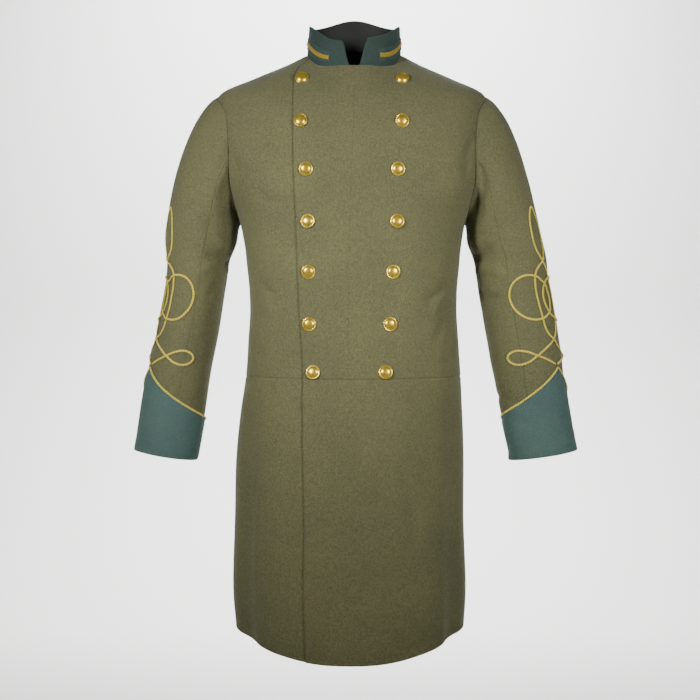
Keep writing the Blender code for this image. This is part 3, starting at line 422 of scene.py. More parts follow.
class CoatTrim(bpy.types.PropertyGroup):
    """Sizes and colours of the braid and buttons."""

    braid: colour_prop(
        name="Braid", description="Colour of the braid", default=(0.78, 0.63, 0.075))
    lace: colour_prop(
        name="Lace", description="Colour of the collar's bars", default=(0.55, 0.36, 0.025))
    brass: colour_prop(
        name="Brass", description="Colour of the buttons", default=(0.98, 0.69, 0.09))
    width: length_prop(
        name="Braid width", description="Width of the sleeve's braid",
        default=3.8 * MM, min=2.0 * MM, max=6.0 * MM)
    height: length_prop(
        name="Braid height", description="How far the braid stands off the cloth",
        default=2.0 * MM, min=1.0 * MM, max=3.0 * MM)
    button_radius: length_prop(
        name="Button radius", description="Radius of a button",
        default=11.9 * MM, min=8.0 * MM, max=12.5 * MM)
    button_height: length_prop(
        name="Button height", description="Height of a button's dome",
        default=6.0 * MM, min=3.0 * MM, max=8.0 * MM)


class CoatStage(bpy.types.PropertyGroup):
    """Camera, floor and light."""

    distance: length_prop(
        name="Camera distance", description="Distance of the camera from the coat's middle",
        default=2.34, min=1.0, max=6.0)
    height: length_prop(
        name="Camera height", description="Height of the camera over the neck seam",
        default=-0.5236, min=-2.0, max=1.0)
    lens: bpy.props.FloatProperty(
        name="Lens", description="Focal length", default=67.4, min=20.0, max=200.0,
        subtype="DISTANCE_CAMERA")
    floor: colour_prop(
        name="Floor", description="Colour of the floor and backdrop", default=(0.93, 0.93, 0.92))
    floor_height: length_prop(
        name="Floor height", description="Height of the floor under the neck seam",
        default=-1.50, min=-3.0, max=-1.1)


def cubic(t, start, leave, end, arrive):
    """The cubic from start to end whose slopes there are leave and arrive."""
    return (
        start * (2 * t**3 - 3 * t**2 + 1) + leave * (t**3 - 2 * t**2 + t)
        + end * (3 * t**2 - 2 * t**3) + arrive * (t**3 - t**2)
    )


def smooth(values, level):
    """A smooth curve through evenly numbered values, read at an array of places:
    cubics whose slopes are half the step from the value before to the one after."""
    slopes = np.gradient(values)
    i = np.clip(np.floor(level).astype(int), 0, len(values) - 2)
    return cubic(level - i, values[i], slopes[i], values[i + 1], slopes[i + 1])


def ease(t):
    """0 to 1 with a flat start and end: 3t squared minus 2t cubed."""
    t = np.clip(t, 0.0, 1.0)
    return t * t * (3 - 2 * t)


def table(rows, columns):
    """Columns of a table as arrays by name, the first, with names, left out."""
    return {c: np.array([float(row[k]) for row in rows]) for k, c in enumerate(columns) if k}


BODY_TABLE = table(BODY, BODY_COLUMNS)
SLEEVE_TABLE = table(SLEEVE, SLEEVE_COLUMNS)
COLLAR_TABLE = table(COLLAR, COLLAR_COLUMNS)


def section(values, level):
    return {name: smooth(column, level) for name, column in values.items()}


def unit(vectors):
    """Vectors brought to length one."""
    return vectors / np.maximum(np.linalg.norm(vectors, axis=-1, keepdims=True), 1e-12)


def superellipse(angle, half_width, front, back, power):
    """Radius of a section: one over the power root of the sum of its shares."""
    along, across = np.cos(np.radians(angle)), np.sin(np.radians(angle))
    depth = np.where(along > 0, front, back)
    return (np.abs(along / depth) ** power + np.abs(across / half_width) ** power) ** (-1 / power)


def ring_point(angle, s, power):
    """Places on a section: its radius, the angle's cosine and sine, and the
    height, which goes from the side's to the front's or back's by one minus
    a power of the sine."""
    along, across = np.cos(np.radians(angle)), np.sin(np.radians(angle))
    z_end = np.where(along > 0, s["z_front"], s["z_back"])
    share = 1 - np.abs(across) ** np.where(along > 0, s["flatness"], 2.0)
    z = s["z_side"] + (z_end - s["z_side"]) * share
    radius = superellipse(angle, s["half_width"], s["front"], s["back"], power)
    return radius, along, across, z


def fold_depth(angle, z):
    """Sum of the skirts' folds: each is a squared cosine across its width."""
    total = np.zeros(np.shape(angle))
    for side, top, foot, half, deep_top, deep_foot, z_top in FOLDS:
        share = np.clip((z_top - z) / (z_top - FOLD_FOOT), 0, None)
        middle = side * (top + (foot - top) * share)
        off = np.minimum(np.abs((angle - middle + 180) % 360 - 180) / half, 1.0)
        depth = deep_top + (deep_foot - deep_top) * share
        total += ease(share / 0.08) * depth * np.cos(off * math.pi / 2) ** 2
    return total


def body_point(angle, level):
    """A place on the body's outer surface, in metres."""
    angle, level = np.broadcast_arrays(np.asarray(angle, float), np.asarray(level, float))
    s = section(BODY_TABLE, level)
    radius, along, across, z = ring_point(angle, s, s["squareness"])
    radius = radius + fold_depth(angle, z)
    return np.stack([radius * across + s["shift"], -radius * along, z], axis=-1) * MM


def normal_of(surface, u, v, du=0.5, dv=0.02):
    """A surface's unit normal: the cross product of two short steps on it."""
    a = surface(u + du, v) - surface(u - du, v)
    b = surface(u, v + dv) - surface(u, v - dv)
    return unit(np.cross(a, b))


def creases(angle, z, rows, width_of_degree):
    """Sum of creases: each is a bell across its line that fades at both ends
    and swells a little along it."""
    total = np.zeros(np.shape(angle))
    for index, (a0, z0, a1, z1, half, depth) in enumerate(rows):
        step = np.array([(a1 - a0) * width_of_degree, z1 - z0])
        across = ((angle - a0 + 180) % 360 - 180) * width_of_degree
        up = z - z0
        length = np.hypot(*step)
        along = (across * step[0] + up * step[1]) / length**2
        off = (across * step[1] - up * step[0]) / length
        bend = CREASE_BOW * length * np.sin(along * math.pi) * (1 if index % 2 else -1)
        started = ease((along + CREASE_PAST) / CREASE_FADE)
        fade = started * ease((1 + CREASE_PAST - along) / CREASE_FADE)
        swell = 1 + CREASE_SWELL * np.sin(along * 7 + index)
        total += depth * fade * swell * np.exp(-(((off - bend) / half) ** 2))
    return total


def waves(a, b, size, seed):
    """Slow uneven waves of the cloth: a sum of sines turned against each other."""
    total = np.zeros(np.shape(a))
    for k in range(5):
        turn = seed + 2.4 * k
        reach = size * (0.55 + 0.25 * k)
        total += np.sin((a * math.cos(turn) + b * math.sin(turn)) / reach + 1.7 * k + seed)
    return total / 5


def body_relief(angle, level):
    """How far the cloth stands off the plain body, in metres."""
    s = section(BODY_TABLE, level)
    _, along, across, z = ring_point(angle, s, s["squareness"])
    turn = WAVE_WIDTH * across + WAVE_DEPTH * along
    low = ease((SKIRT_WAVE_TOP - z) / SKIRT_WAVE_FADE)
    slow = waves(turn, z, WAVE_SIZE, 0.6) * (WAVE_HEIGHT + SKIRT_WAVE_HEIGHT * low)
    beside_waist = np.exp(-(((z - PUCKER_Z) / PUCKER_HALF) ** 2))
    pucker = waves(turn * 2.2, z * 0.5, PUCKER_SIZE, 2.1) * PUCKER_HEIGHT * beside_waist
    return (CREASE_SCALE * creases(angle, z, BODY_CREASES, BODY_DEGREE) + slow + pucker) * MM


def section_depth(s, across, end):
    """Depth of a section at a distance across it, by its superellipse."""
    share = np.minimum(np.abs(across) / s["half_width"], 0.9999)
    return s[end] * (1 - share ** s["squareness"]) ** (1 / s["squareness"])


def front_angle(level, across):
    """The angle of a place at a distance across the front."""
    s = section(BODY_TABLE, level)
    return np.degrees(np.arctan2(across, section_depth(s, across, "front")))


def back_angle(level):
    """The angle of the curved back seam, on the wearer's left."""
    s = section(BODY_TABLE, level)
    return 180 - np.degrees(np.arctan2(s["back_seam"], section_depth(s, s["back_seam"], "back")))


def seam(name, level):
    return front_angle(level, smooth(BODY_TABLE[name], level))


def arm_of(level):
    """The angle round the armhole at a body level: the level's share of the
    armhole's height is half of one plus its cosine."""
    height = np.clip((level - UNDERARM) / (TIP - UNDERARM), 0, 1)
    return np.degrees(np.arccos(2 * height - 1))


def armhole_angle(arm_angle, level):
    """The body angle of a place on the armhole; 90 is its front, 270 its back."""
    height = (level - UNDERARM) / (TIP - UNDERARM)
    turn = np.sin(np.radians(arm_angle))
    reach = np.where(turn > 0, ARMHOLE_FRONT_REACH, ARMHOLE_BACK_REACH)
    y = ARMHOLE_MIDDLE + ARMHOLE_LEAN * height**2 - reach * turn
    s = section(BODY_TABLE, level)
    depth = np.where(y < 0, s["front"], s["back"])
    x = s["half_width"] * (1 - np.abs(y / depth) ** s["squareness"]) ** (1 / s["squareness"])
    return np.degrees(np.arctan2(x, -y))


def armhole_level(arm_angle):
    """The body level of a place on the armhole's ellipse."""
    return UNDERARM + (TIP - UNDERARM) * (1 + np.cos(np.radians(arm_angle))) / 2


def seam_tuck(level):
    """A seam's tuck as an angle at the side of a level."""
    return np.degrees(SEAM_TUCK / MM / smooth(BODY_TABLE["half_width"], level))


def waist_tuck():
    """A seam's tuck as a step of level near the waist."""
    drop = (BODY_TABLE["z_front"][WAIST] - BODY_TABLE["z_front"][WAIST - 1]) * MM
    return SEAM_TUCK / drop


def side_end(level, behind):
    """Where a front (or what lies behind it) ends: side seam, armhole, shoulder."""
    foot = armhole_angle(np.array(180.0), np.array(float(UNDERARM)))
    top = armhole_angle(np.array(0.0), np.array(float(TIP)))
    side = foot + (SIDE_SEAM_AT_WAIST - foot) * (UNDERARM - level) / (UNDERARM - WAIST)
    shoulder = top + (SHOULDER_SEAM_AT_NECK - top) * (level - TIP) / (NECK - TIP)
    arm = arm_of(level)
    inside = np.clip(level, UNDERARM, TIP)
    hole = armhole_angle(360 - arm if behind else arm, inside)
    return np.where(level < UNDERARM, side, np.where(level > TIP, shoulder, hole))


def spread(length, cell):
    """Shares from 0 to 1 along a length, closer beside both ends."""
    near = np.array(EDGE_LINES) * MM / length
    near = near[near < EDGE_SHARE]
    count = max(int((length * (1 - 2 * near[-1])) / cell), 2)
    middle = np.linspace(near[-1], 1 - near[-1], count + 1)
    return np.concatenate([[0.0], near[:-1], middle, 1 - near[:-1][::-1], [1.0]])


def distance_along(points):
    """Distance of each point of a line from its first."""
    return np.concatenate([[0], np.cumsum(np.linalg.norm(np.diff(points, axis=0), axis=1))])


def levels_between(low, high, cell, ends=(True, True)):
    """Body levels spaced along the front of the cloth, closer beside ends."""
    fine = np.linspace(low, high, FINE_BODY)
    along = distance_along(body_point(np.full(FINE_BODY, 40.0), fine))
    shares = spread(along[-1], cell)
    skip = len([e for e in EDGE_LINES if e * MM / along[-1] < EDGE_SHARE]) - 1
    if not ends[0]:
        shares = np.concatenate([[0.0], shares[1 + skip:]])
    if not ends[1]:
        shares = np.concatenate([shares[:-1 - skip], [1.0]])
    return np.interp(shares * along[-1], along, fine)


def upper_levels(cell, top=NECK):
    """Levels from waist to neck, spaced evenly round the armhole."""
    below = levels_between(WAIST - waist_tuck(), UNDERARM, cell, (True, False))
    count = int(HALF_ARMHOLE / cell)
    beside = armhole_level(np.linspace(180, 0, count + 1))
    above = levels_between(TIP, NECK, cell, (False, True))
    whole = np.concatenate([below[:-1], beside[:-1], above])
    if top == NECK:
        return whole
    return np.concatenate([whole[whole < top - TOP_GAP], [top]])


def edge_distances(points):
    """Distance of every grid point from the four edges, along the grid."""
    across = np.linalg.norm(np.diff(points, axis=1), axis=2)
    along = np.linalg.norm(np.diff(points, axis=0), axis=2)
    left = np.concatenate([np.zeros((len(points), 1)), np.cumsum(across, axis=1)], axis=1)
    low = np.concatenate([np.zeros((1, points.shape[1])), np.cumsum(along, axis=0)], axis=0)
    return left, left[:, -1:] - left, low, low[-1:] - low


def grid_quads(rows, columns, start=0, flip=False):
    """Quads of a grid of points, row by row."""
    i, j = np.meshgrid(np.arange(rows - 1), np.arange(columns - 1), indexing="ij")
    a = start + i * columns + j
    b = a + columns
    order = (a, b, b + 1, a + 1) if flip else (a, a + 1, b + 1, b)
    return np.stack(order, axis=-1).reshape(-1, 4)


def tube_quads(steps, ring, rings):
    """Quads round a tube of rings of points, as many steps along it as asked;
    where there is no ring ahead, the last step ends on the first ring."""
    i, j = np.meshgrid(np.arange(steps), np.arange(ring), indexing="ij")
    a, b, k = i * ring, (i + 1) % rings * ring, (j + 1) % ring
    return np.stack([a + j, a + k, b + k, b + j], axis=-1).reshape(-1, 4)


def ruled(start, end, rows, shares):
    """A grid of angles between two lines of them, and the rows that they are on."""
    angles = start[:, None] + (end - start)[:, None] * shares[None, :]
    return angles, np.broadcast_to(rows[:, None], angles.shape)


def new_mesh(name, points, quads, slots=None, corners=None):
    """A smooth-shaded mesh from arrays of points and quads, with a material
    slot for each quad and a Lay map for each of its corners where given."""
    mesh = bpy.data.meshes.new(name)
    mesh.vertices.add(len(points))
    mesh.vertices.foreach_set("co", np.ascontiguousarray(points, dtype=np.float32).ravel())
    mesh.loops.add(quads.size)
    mesh.loops.foreach_set("vertex_index", np.ascontiguousarray(quads, dtype=np.int32).ravel())
    mesh.polygons.add(len(quads))
    mesh.polygons.foreach_set("loop_start", np.arange(0, quads.size, 4, dtype=np.int32))
    if slots is not None:
        mesh.polygons.foreach_set("material_index", np.asarray(slots, dtype=np.int32))
    mesh.polygons.foreach_set("use_smooth", np.ones(len(quads), dtype=bool))
    mesh.update(calc_edges=True)
    mesh.validate()
    if corners is not None:
        layer = mesh.uv_layers.new(name="Lay")
        layer.data.foreach_set("uv", corners.astype(np.float32).ravel())
    return mesh


def add_object(name, data):
    """Puts an object with this data in the scene."""
    thing = bpy.data.objects.new(name, data)
    bpy.context.scene.collection.objects.link(thing)
    return thing


def new_piece(name, mesh, materials):
    """Puts a mesh in the scene as the piece that replaces the node it is
    named after, riding on the coat's one body."""
    piece = add_object(f"{name}_finish", mesh)
    for material in materials:
        piece.data.materials.append(material)
    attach(piece, BODY_NAME)
    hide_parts(name)


def shell(name, points, normals, top, thickness, edges, materials):
    """A cloth panel: an outer skin at a height over the points, an inner skin
    under it, and a rim. At an edge the outer skin sinks by the square of the
    share of the edge's width that is left, and the inner one may close on it.
    """
    rows, columns = points.shape[:2]
    sink, close = np.zeros((rows, columns)), np.zeros((rows, columns))
    for distance, kind in zip(edge_distances(points), edges):
        if kind is None:
            continue
        depth, width, shut = EDGES[kind]
        left = np.clip(1 - distance / (width * MM), 0, 1) ** 2
        sink = np.maximum(sink, depth * MM * left)
        close = np.maximum(close, shut * MM * left)
    outer = points + normals * (top - sink)[..., None]
    inner = points + normals * (top - thickness + close * CLOSING_SHARE)[..., None]
    i, j = rows // 2, columns // 2
    facing = np.cross(outer[i, j + 1] - outer[i, j], outer[i + 1, j] - outer[i, j])
    flip = float(np.dot(facing, normals[i, j])) < 0
    count = rows * columns
    border = np.concatenate([
        np.arange(columns - 1), np.arange(rows - 1) * columns + columns - 1,
        (rows - 1) * columns + np.arange(columns - 1, 0, -1), np.arange(rows - 1, 0, -1) * columns,
    ])
    after = np.roll(border, -1)
    rim = np.stack([border, border + count, after + count, after], axis=-1)
    if flip:
        rim = rim[:, ::-1]
    quads = np.concatenate([
        grid_quads(rows, columns, 0, flip), grid_quads(rows, columns, count, not flip), rim,
    ])
    skin = (rows - 1) * (columns - 1)
    slots = np.concatenate([np.zeros(skin), np.ones(skin), np.zeros(len(rim))])
    both = np.concatenate([outer.reshape(-1, 3), inner.reshape(-1, 3)])
    new_piece(name, new_mesh(name, both, quads, slots), materials)


def body_panel(name, start, end, levels, edges, lift=None):
    """A wool panel of the body between two lines of angles."""
    cloth = bpy.context.scene.coat_cloth
    middle = body_point((start + end) / 2, levels)
    ends = [np.linalg.norm(body_point(line, levels) - middle, axis=1) for line in (start, end)]
    shares = spread(float(np.percentile(ends[0] + ends[1], 80)) * PANEL_EASE, cloth.cell)
    angles, grid = ruled(start, end, levels, shares)
    top = body_relief(angles, grid)
    if lift is not None:
        top = top + lift(angles, grid)
    shell(
        name, body_point(angles, grid), normal_of(body_point, angles, grid), top,
        cloth.thickness, edges, [wool_material(), lining_material()],
    )


def front_lap(angle, level):
    """The outer front stands proud of the one under it, and fades past it."""
    raised = bpy.context.scene.coat_cloth.lap_raise
    past = (angle - seam("underlap", level) - LAP_FADE_FROM) / LAP_FADE
    return raised * (1 - ease(past))


def under_lap(angle, level):
    """The under front is pressed in along the outer one's edge: a bell across
    the distance from that edge."""
    off = (angle - seam("lapel_edge", level)) * DEGREE_IN_FRONT
    return -PRESSED_DEPTH * np.exp(-(((off + PRESSED_OFFSET) / PRESSED_HALF_WIDTH) ** 2))


def vent_lap(angle, level):
    """The wearer's left side of the back vent stands proud of the right."""
    raised = bpy.context.scene.coat_cloth.vent_raise
    return raised * ease((WAIST - level) / VENT_RISE) * ease((angle - VENT_FADE_FROM) / VENT_FADE)


def build_fronts():
    """The lapel and outer front, and the front under them."""
    levels = upper_levels(bpy.context.scene.coat_cloth.cell)
    tuck = seam_tuck(levels)
    edge, middle = seam("lapel_edge", levels), seam("lapel_seam", levels)
    under, end = seam("underlap", levels), side_end(levels, False) + tuck
    lapel_edges = ("lapel", "faint", "waist", "seam")
    body_panel("lapel_left", edge, middle + tuck, levels, lapel_edges, front_lap)
    outer_edges = ("faint", "seam", "waist", "seam")
    body_panel("front_left", middle - tuck, end, levels, outer_edges, front_lap)
    under_edges = ("seam", "under", "waist", "seam")
    body_panel("front_right", -end, under, levels, under_edges, under_lap)


def build_side_bodies():
    """The narrow pieces under the arms, from waist to armhole."""
    levels = upper_levels(bpy.context.scene.coat_cloth.cell, ARMHOLE_JOIN)
    tuck = seam_tuck(levels)
    start, end = side_end(levels, True) - tuck, back_angle(levels) + tuck
    edges = ("seam", "seam", "waist", None)
    body_panel("side_body_left", start, end, levels, edges)
    body_panel("side_body_right", -start, -end, levels, edges)


def build_backs():
    """Each back runs from neck to hem, with a lapped vent below the waist."""
    cell = bpy.context.scene.coat_cloth.cell
    low = levels_between(0.0, WAIST, cell, (True, False))
    levels = np.concatenate([low[:-1], upper_levels(cell)])
    levels[len(low) - 1] = WAIST
    tuck = seam_tuck(levels)
    start = np.where(levels > ARMHOLE_JOIN, side_end(levels, True), back_angle(levels)) - tuck
    lap = np.interp(levels, VENT_TOP, [VENT_HALF_LAP, 0.0]) + tuck
    body_panel("back_left", start, 180 + lap, levels, ("seam", "free", "free", "seam"), vent_lap)
    body_panel("back_right", -start, -(180 + lap), levels, ("seam", "faint", "free", "seam"))


def build_skirts():
    """The two skirts, the wearer's left lapping over the right in front."""
    cell = bpy.context.scene.coat_cloth.cell
    levels = levels_between(0.0, WAIST + waist_tuck(), cell)
    edge, under = seam("lapel_edge", levels), seam("underlap", levels)
    end = back_angle(levels) + seam_tuck(levels)
    body_panel("skirt_left", edge, end, levels, ("lapel", "seam", "free", "waist"), front_lap)
    body_panel("skirt_right", -end, under, levels, ("seam", "under", "free", "waist"), under_lap)


def sleeve_ring(side, arm_angle, row):
    """A place on a sleeve's section below its cap: an ellipse whose depth is
    what its girth leaves over its width."""
    s = section(SLEEVE_TABLE, row)
    hand = "left" if side > 0 else "right"
    inner, outer = s[f"inner_{hand}"], s[f"outer_{hand}"]
    middle, half = (inner + outer) / 2, (outer - inner) / 2
    depth = s["girth"] / math.pi - half
    out, front = np.cos(np.radians(arm_angle)), np.sin(np.radians(arm_angle))
    place = [side * (middle + half * out), s["middle"] - depth * front, s["z"] + s["rise"] * out]
    return np.stack(place, axis=-1) * MM


def sleeve_point(side, arm_angle, row):
    """A place on a sleeve: rows 0 to 1 are the cap, a cubic from the armhole
    to the upper arm, then one row a section."""
    arm_angle, row = np.broadcast_arrays(np.asarray(arm_angle, float), np.asarray(row, float))
    turn = arm_angle % 360
    level = armhole_level(turn)
    start = body_point(side * armhole_angle(turn, level), level)
    out, front = np.cos(np.radians(turn)), np.sin(np.radians(turn))
    down = -LEAVE_DOWN - LEAVE_STEEPER * (1 - out)
    leave = unit(np.stack([np.full(turn.shape, side * 1.0), -LEAVE_FORWARD * front, down], axis=-1))
    end = sleeve_ring(side, turn, np.zeros(turn.shape))
    arrive = unit(sleeve_ring(side, turn, np.full(turn.shape, 0.4)) - end)
    reach = np.linalg.norm(end - start, axis=-1, keepdims=True)
    start = start - leave * SLEEVE_TUCK
    leave, arrive = leave * reach * SLEEVE_CAP_PULL[side], arrive * reach * SLEEVE_END_PULL
    cap = cubic(np.clip(row, 0, 1)[..., None], start, leave, end, arrive)
    below = sleeve_ring(side, turn, np.maximum(row - 1, 0))
    return np.where(row[..., None] < 1, cap, below)


def sleeve_normal(side, arm_angle, row):
    """The sleeve's outward unit normal, from short steps on its surface."""
    low = np.maximum(row - 0.01, 0.0)
    a = sleeve_point(side, arm_angle + 0.5, row) - sleeve_point(side, arm_angle - 0.5, row)
    b = sleeve_point(side, arm_angle, low + 0.02) - sleeve_point(side, arm_angle, low)
    return unit(np.cross(a, b) * side)


def sleeve_relief(side, arm_angle, z):
    """How far a sleeve's cloth stands off its plain form, in metres."""
    turn = np.radians(arm_angle)
    place = np.cos(turn) * 62 + 40 * side, z + 60 * np.sin(turn)
    slow = waves(*place, SLEEVE_WAVE_SIZE, 1.1 + 0.7 * side)
    below_cap = np.clip((z + 260) / -60, 0, 1)
    folds = CREASE_SCALE * creases(arm_angle, z, SLEEVE_CREASES[side], SLEEVE_DEGREE)
    return (folds + slow * (0.35 + 0.6 * below_cap)) * MM


def cap_roll(arm_angle, row):
    """The sleeve's head rolls over its seam: a ridge a few millimetres below
    it, full at the shoulder and gone under the arm."""
    head = ease((np.cos(np.radians(arm_angle)) + 0.5) / 1.1)
    return ROLL_HEIGHT * head * np.exp(-(((row - ROLL_ROW) / ROLL_HALF) ** 2))


def sleeve_place(side, arm_angle, row):
    """Points on a sleeve's cloth with its creases, and the normals there."""
    arm_angle, row = np.broadcast_arrays(np.asarray(arm_angle, float), np.asarray(row, float))
    point = sleeve_point(side, arm_angle, row)
    normal = sleeve_normal(side, arm_angle, row)
    fade = ease(row / 0.12)
    relief = sleeve_relief(side, arm_angle, point[..., 2] / MM) * fade + cap_roll(arm_angle, row)
    return point + normal * relief[..., None], normal


def sleeve_row_at(side, arm_angle, z):
    """The rows of a sleeve at heights in metres, by halving."""
    low, high = np.zeros(np.shape(z)), np.full(np.shape(z), SLEEVE_END)
    for _ in range(HALVINGS):
        middle = (low + high) / 2
        above = sleeve_point(side, arm_angle, middle)[..., 2] > z
        low, high = np.where(above, middle, low), np.where(above, high, middle)
    return (low + high) / 2


def sleeve_rows(cell):
    """Rows of a sleeve spaced along its outer side, closer at both ends."""
    fine = np.linspace(0, SLEEVE_END, FINE_SLEEVE)
    along = distance_along(sleeve_point(1, np.full(FINE_SLEEVE, 60.0), fine))
    return np.interp(spread(along[-1], cell) * along[-1], along, fine)


def build_sleeves():
    """Two-piece sleeves: a top sleeve outside and an under sleeve inside."""
    cloth = bpy.context.scene.coat_cloth
    rows = sleeve_rows(cloth.cell)
    pieces = (
        ("top_sleeve", BACK_SLEEVE_SEAM, 360 + FRONT_SLEEVE_SEAM, TOP_SLEEVE_WIDTH),
        ("under_sleeve", FRONT_SLEEVE_SEAM, BACK_SLEEVE_SEAM, UNDER_SLEEVE_WIDTH),
    )
    materials = [wool_material(), lining_material()]
    for side, hand in HANDS:
        for name, start, end, width in pieces:
            start_in, end_in = start + SLEEVE_SEAM_TRIM, end - SLEEVE_SEAM_TRIM
            grid, row = np.meshgrid(start_in + (end_in - start_in) * spread(width, cloth.cell), rows)
            points, normals = sleeve_place(side, grid, row)
            shell(
                f"{name}_{hand}", points, normals, np.zeros(grid.shape), cloth.thickness,
                ("sleeve", "sleeve", "cap", "free"), materials,
            )


def cuff_top(side, arm_angle):
    """Height of the cuff's top: a point that falls by a square to its foot."""
    off = np.abs((arm_angle - CUFF_POINT_ANGLE[side] + 180) % 360 - 180) / 180
    return (CUFF_LOW_Z + (CUFF_POINT_Z - CUFF_LOW_Z) * (1 - off) ** 2) * MM


def cuff_span():
    """The angles between which a cuff goes round, open by a hair behind."""
    return BACK_SLEEVE_SEAM + CUFF_SEAM_TRIM, 360 + BACK_SLEEVE_SEAM - CUFF_SEAM_TRIM


def cuff_angles(side, cell):
    """Angles round a cuff, with a line on its point."""
    start, end = cuff_span()
    point = 360 + CUFF_POINT_ANGLE[side]
    behind = start + (point - start) * spread(CUFF_BEHIND, cell)
    ahead = point + (end - point) * spread(CUFF_AHEAD, cell)
    return np.concatenate([behind, ahead[1:]])


def build_cuffs():
    """Pointed facings round the ends of the sleeves."""
    cloth = bpy.context.scene.coat_cloth
    shares = spread(CUFF_DEPTH, cloth.cell)
    for side, hand in HANDS:
        angles = cuff_angles(side, cloth.cell)
        top = sleeve_row_at(side, angles, cuff_top(side, angles))
        rows = top[None, :] + (SLEEVE_END - top)[None, :] * shares[:, None]
        points, normals = sleeve_place(side, np.broadcast_to(angles[None, :], rows.shape), rows)
        shell(
            f"cuff_{hand}", points, normals, np.full(rows.shape, cloth.cuff_thickness + CUFF_LIFT),
            cloth.cuff_thickness, ("free",) * 4, [facing_material(), lining_material()],
        )


def collar_point(angle, share):
    """A place on the collar's outer face, from its seam (0) to its top (1)."""
    angle, share = np.broadcast_arrays(np.asarray(angle, float), np.asarray(share, float))
    s = section(COLLAR_TABLE, 2 * share)
    radius, along, across, z = ring_point(angle, s, 2.0)
    z = z + s["skew"] * np.sin(np.radians(3 * angle)) * np.maximum(along, 0.0) ** 2
    return np.stack([radius * across + s["shift"], -radius * along, z], axis=-1) * MM


def collar_edge(share, column):
    """The angle of the collar's front edge at shares of its height."""
    shares = [row[0] for row in COLLAR_EDGE]
    across = np.interp(share, shares, [row[column] for row in COLLAR_EDGE])
    s = section(COLLAR_TABLE, 2 * share)
    depth = s["front"] * np.sqrt(1 - (across / s["half_width"]) ** 2)
    return np.degrees(np.arctan2(across, depth))


def collar_relief(angle, share):
    """Slow unevenness of the stiff collar, in metres."""
    turn = np.radians(angle)
    place = 80 * np.sin(turn) + 60 * np.cos(turn), share * 60
    return waves(*place, COLLAR_WAVE_SIZE, 0.9) * COLLAR_WAVE_HEIGHT * MM


def collar_panel(name, start, end, shares, lift, thickness, edges, materials, cell):
    """A piece on the collar between two lines of angles."""
    wide = float(np.max(np.abs(np.radians(end - start)))) * COLLAR_RADIUS
    angles, grid = ruled(start, end, shares, spread(wide, cell))
    shell(
        name, collar_point(angles, grid), normal_of(collar_point, angles, grid),
        collar_relief(angles, grid) + lift, thickness, edges, materials,
    )


def collar_trim(name, span, rows, lift, material, cell):
    """A patch or bar on the collar between two angles."""
    start, end = (np.full(rows.shape, angle) for angle in span)
    collar_panel(
        name, start, end, rows, lift, PATCH_THICKNESS, ("free",) * 4, [material] * 2, cell,
    )


def build_collar():
    """The standing collar with a patch and a bar of gold lace on each side."""
    shares = spread(COLLAR_HEIGHT, 2.4 * MM)
    shares[0] = -COLLAR_TUCK
    collar_panel(
        "collar", collar_edge(shares, 2), 360 + collar_edge(shares, 1), shares, 0.0,
        bpy.context.scene.coat_cloth.collar_thickness, ("free", "free", None, "free"),
        [collar_material(), lining_material()], 3.0 * MM,
    )
    patch = PATCH_LOW + (PATCH_HIGH - PATCH_LOW) * spread(PATCH_HEIGHT, 2.0 * MM)
    bar = BAR_LOW + (BAR_HIGH - BAR_LOW) * spread(BAR_HEIGHT, 0.8 * MM)
    for side, hand in HANDS:
        span, bar_span = (side * PATCH_FROM, side * PATCH_TO), (side * BAR_FROM, side * BAR_TO)
        collar_trim(
            f"collar_patch_{hand}", span, patch, PATCH_LIFT, patch_material(), 3.0 * MM)
        collar_trim(
            f"collar_bar_{hand}", bar_span, bar, BAR_LIFT, lace_material(), 2.0 * MM)


def flat_curve(points, closed=False):
    """Dense points of a smooth flat curve through a few points: cubics whose
    slopes are half the step from the point before to the point after."""
    points = np.array(points, float)
    if closed:
        before, after = np.roll(points, 1, axis=0), np.roll(points, -1, axis=0)
    else:
        before = np.concatenate([2 * points[:1] - points[1:2], points[:-1]])
        after = np.concatenate([points[1:], 2 * points[-1:] - points[-2:-1]])
    slopes = (after - before) / 2
    end_slopes = np.roll(slopes, -1, axis=0)
    count = len(points) if closed else len(points) - 1
    t = np.linspace(0, 1, FINE_CURVE, endpoint=False)[None, :, None]
    parts = (a[:count, None] for a in (points, slopes, after, end_slopes))
    return np.concatenate([cubic(t, *parts).reshape(-1, 2), points[:1] if closed else points[-1:]])


def crossings(first, second, same):
    """Distances along each of two flat curves where they cross."""
    along_a, along_b = distance_along(first), distance_along(second)
    p, r = first[:-1, None], np.diff(first, axis=0)[:, None]
    q, s = second[None, :-1], np.diff(second, axis=0)[None]
    cross = r[..., 0] * s[..., 1] - r[..., 1] * s[..., 0]
    cross = np.where(cross == 0, 1e-12, cross)
    gap = q - p
    t = (gap[..., 0] * s[..., 1] - gap[..., 1] * s[..., 0]) / cross
    u = (gap[..., 0] * r[..., 1] - gap[..., 1] * r[..., 0]) / cross
    i, j = np.nonzero((t >= 0) & (t < 1) & (u >= 0) & (u < 1))
    kept = j > i + 3 if same else j >= 0
    i, j = i[kept], j[kept]
    return [
        (along_a[a] + t[a, b] * (along_a[a + 1] - along_a[a]),
         along_b[b] + u[a, b] * (along_b[b + 1] - along_b[b]))
        for a, b in zip(i, j)
    ]


def strand_height(distance, lifts, total, closed):
    """How far a strand is raised: a soft hump over each crossing."""
    height = np.zeros(np.shape(distance))
    for centre, level in lifts:
        off = np.abs(distance - centre)
        if closed:
            off = np.minimum(off, total - off)
        hump = ease((CROSSING_FOOT - off) / (CROSSING_FOOT - CROSSING_TOP))
        height = np.maximum(height, level * hump)
    return height


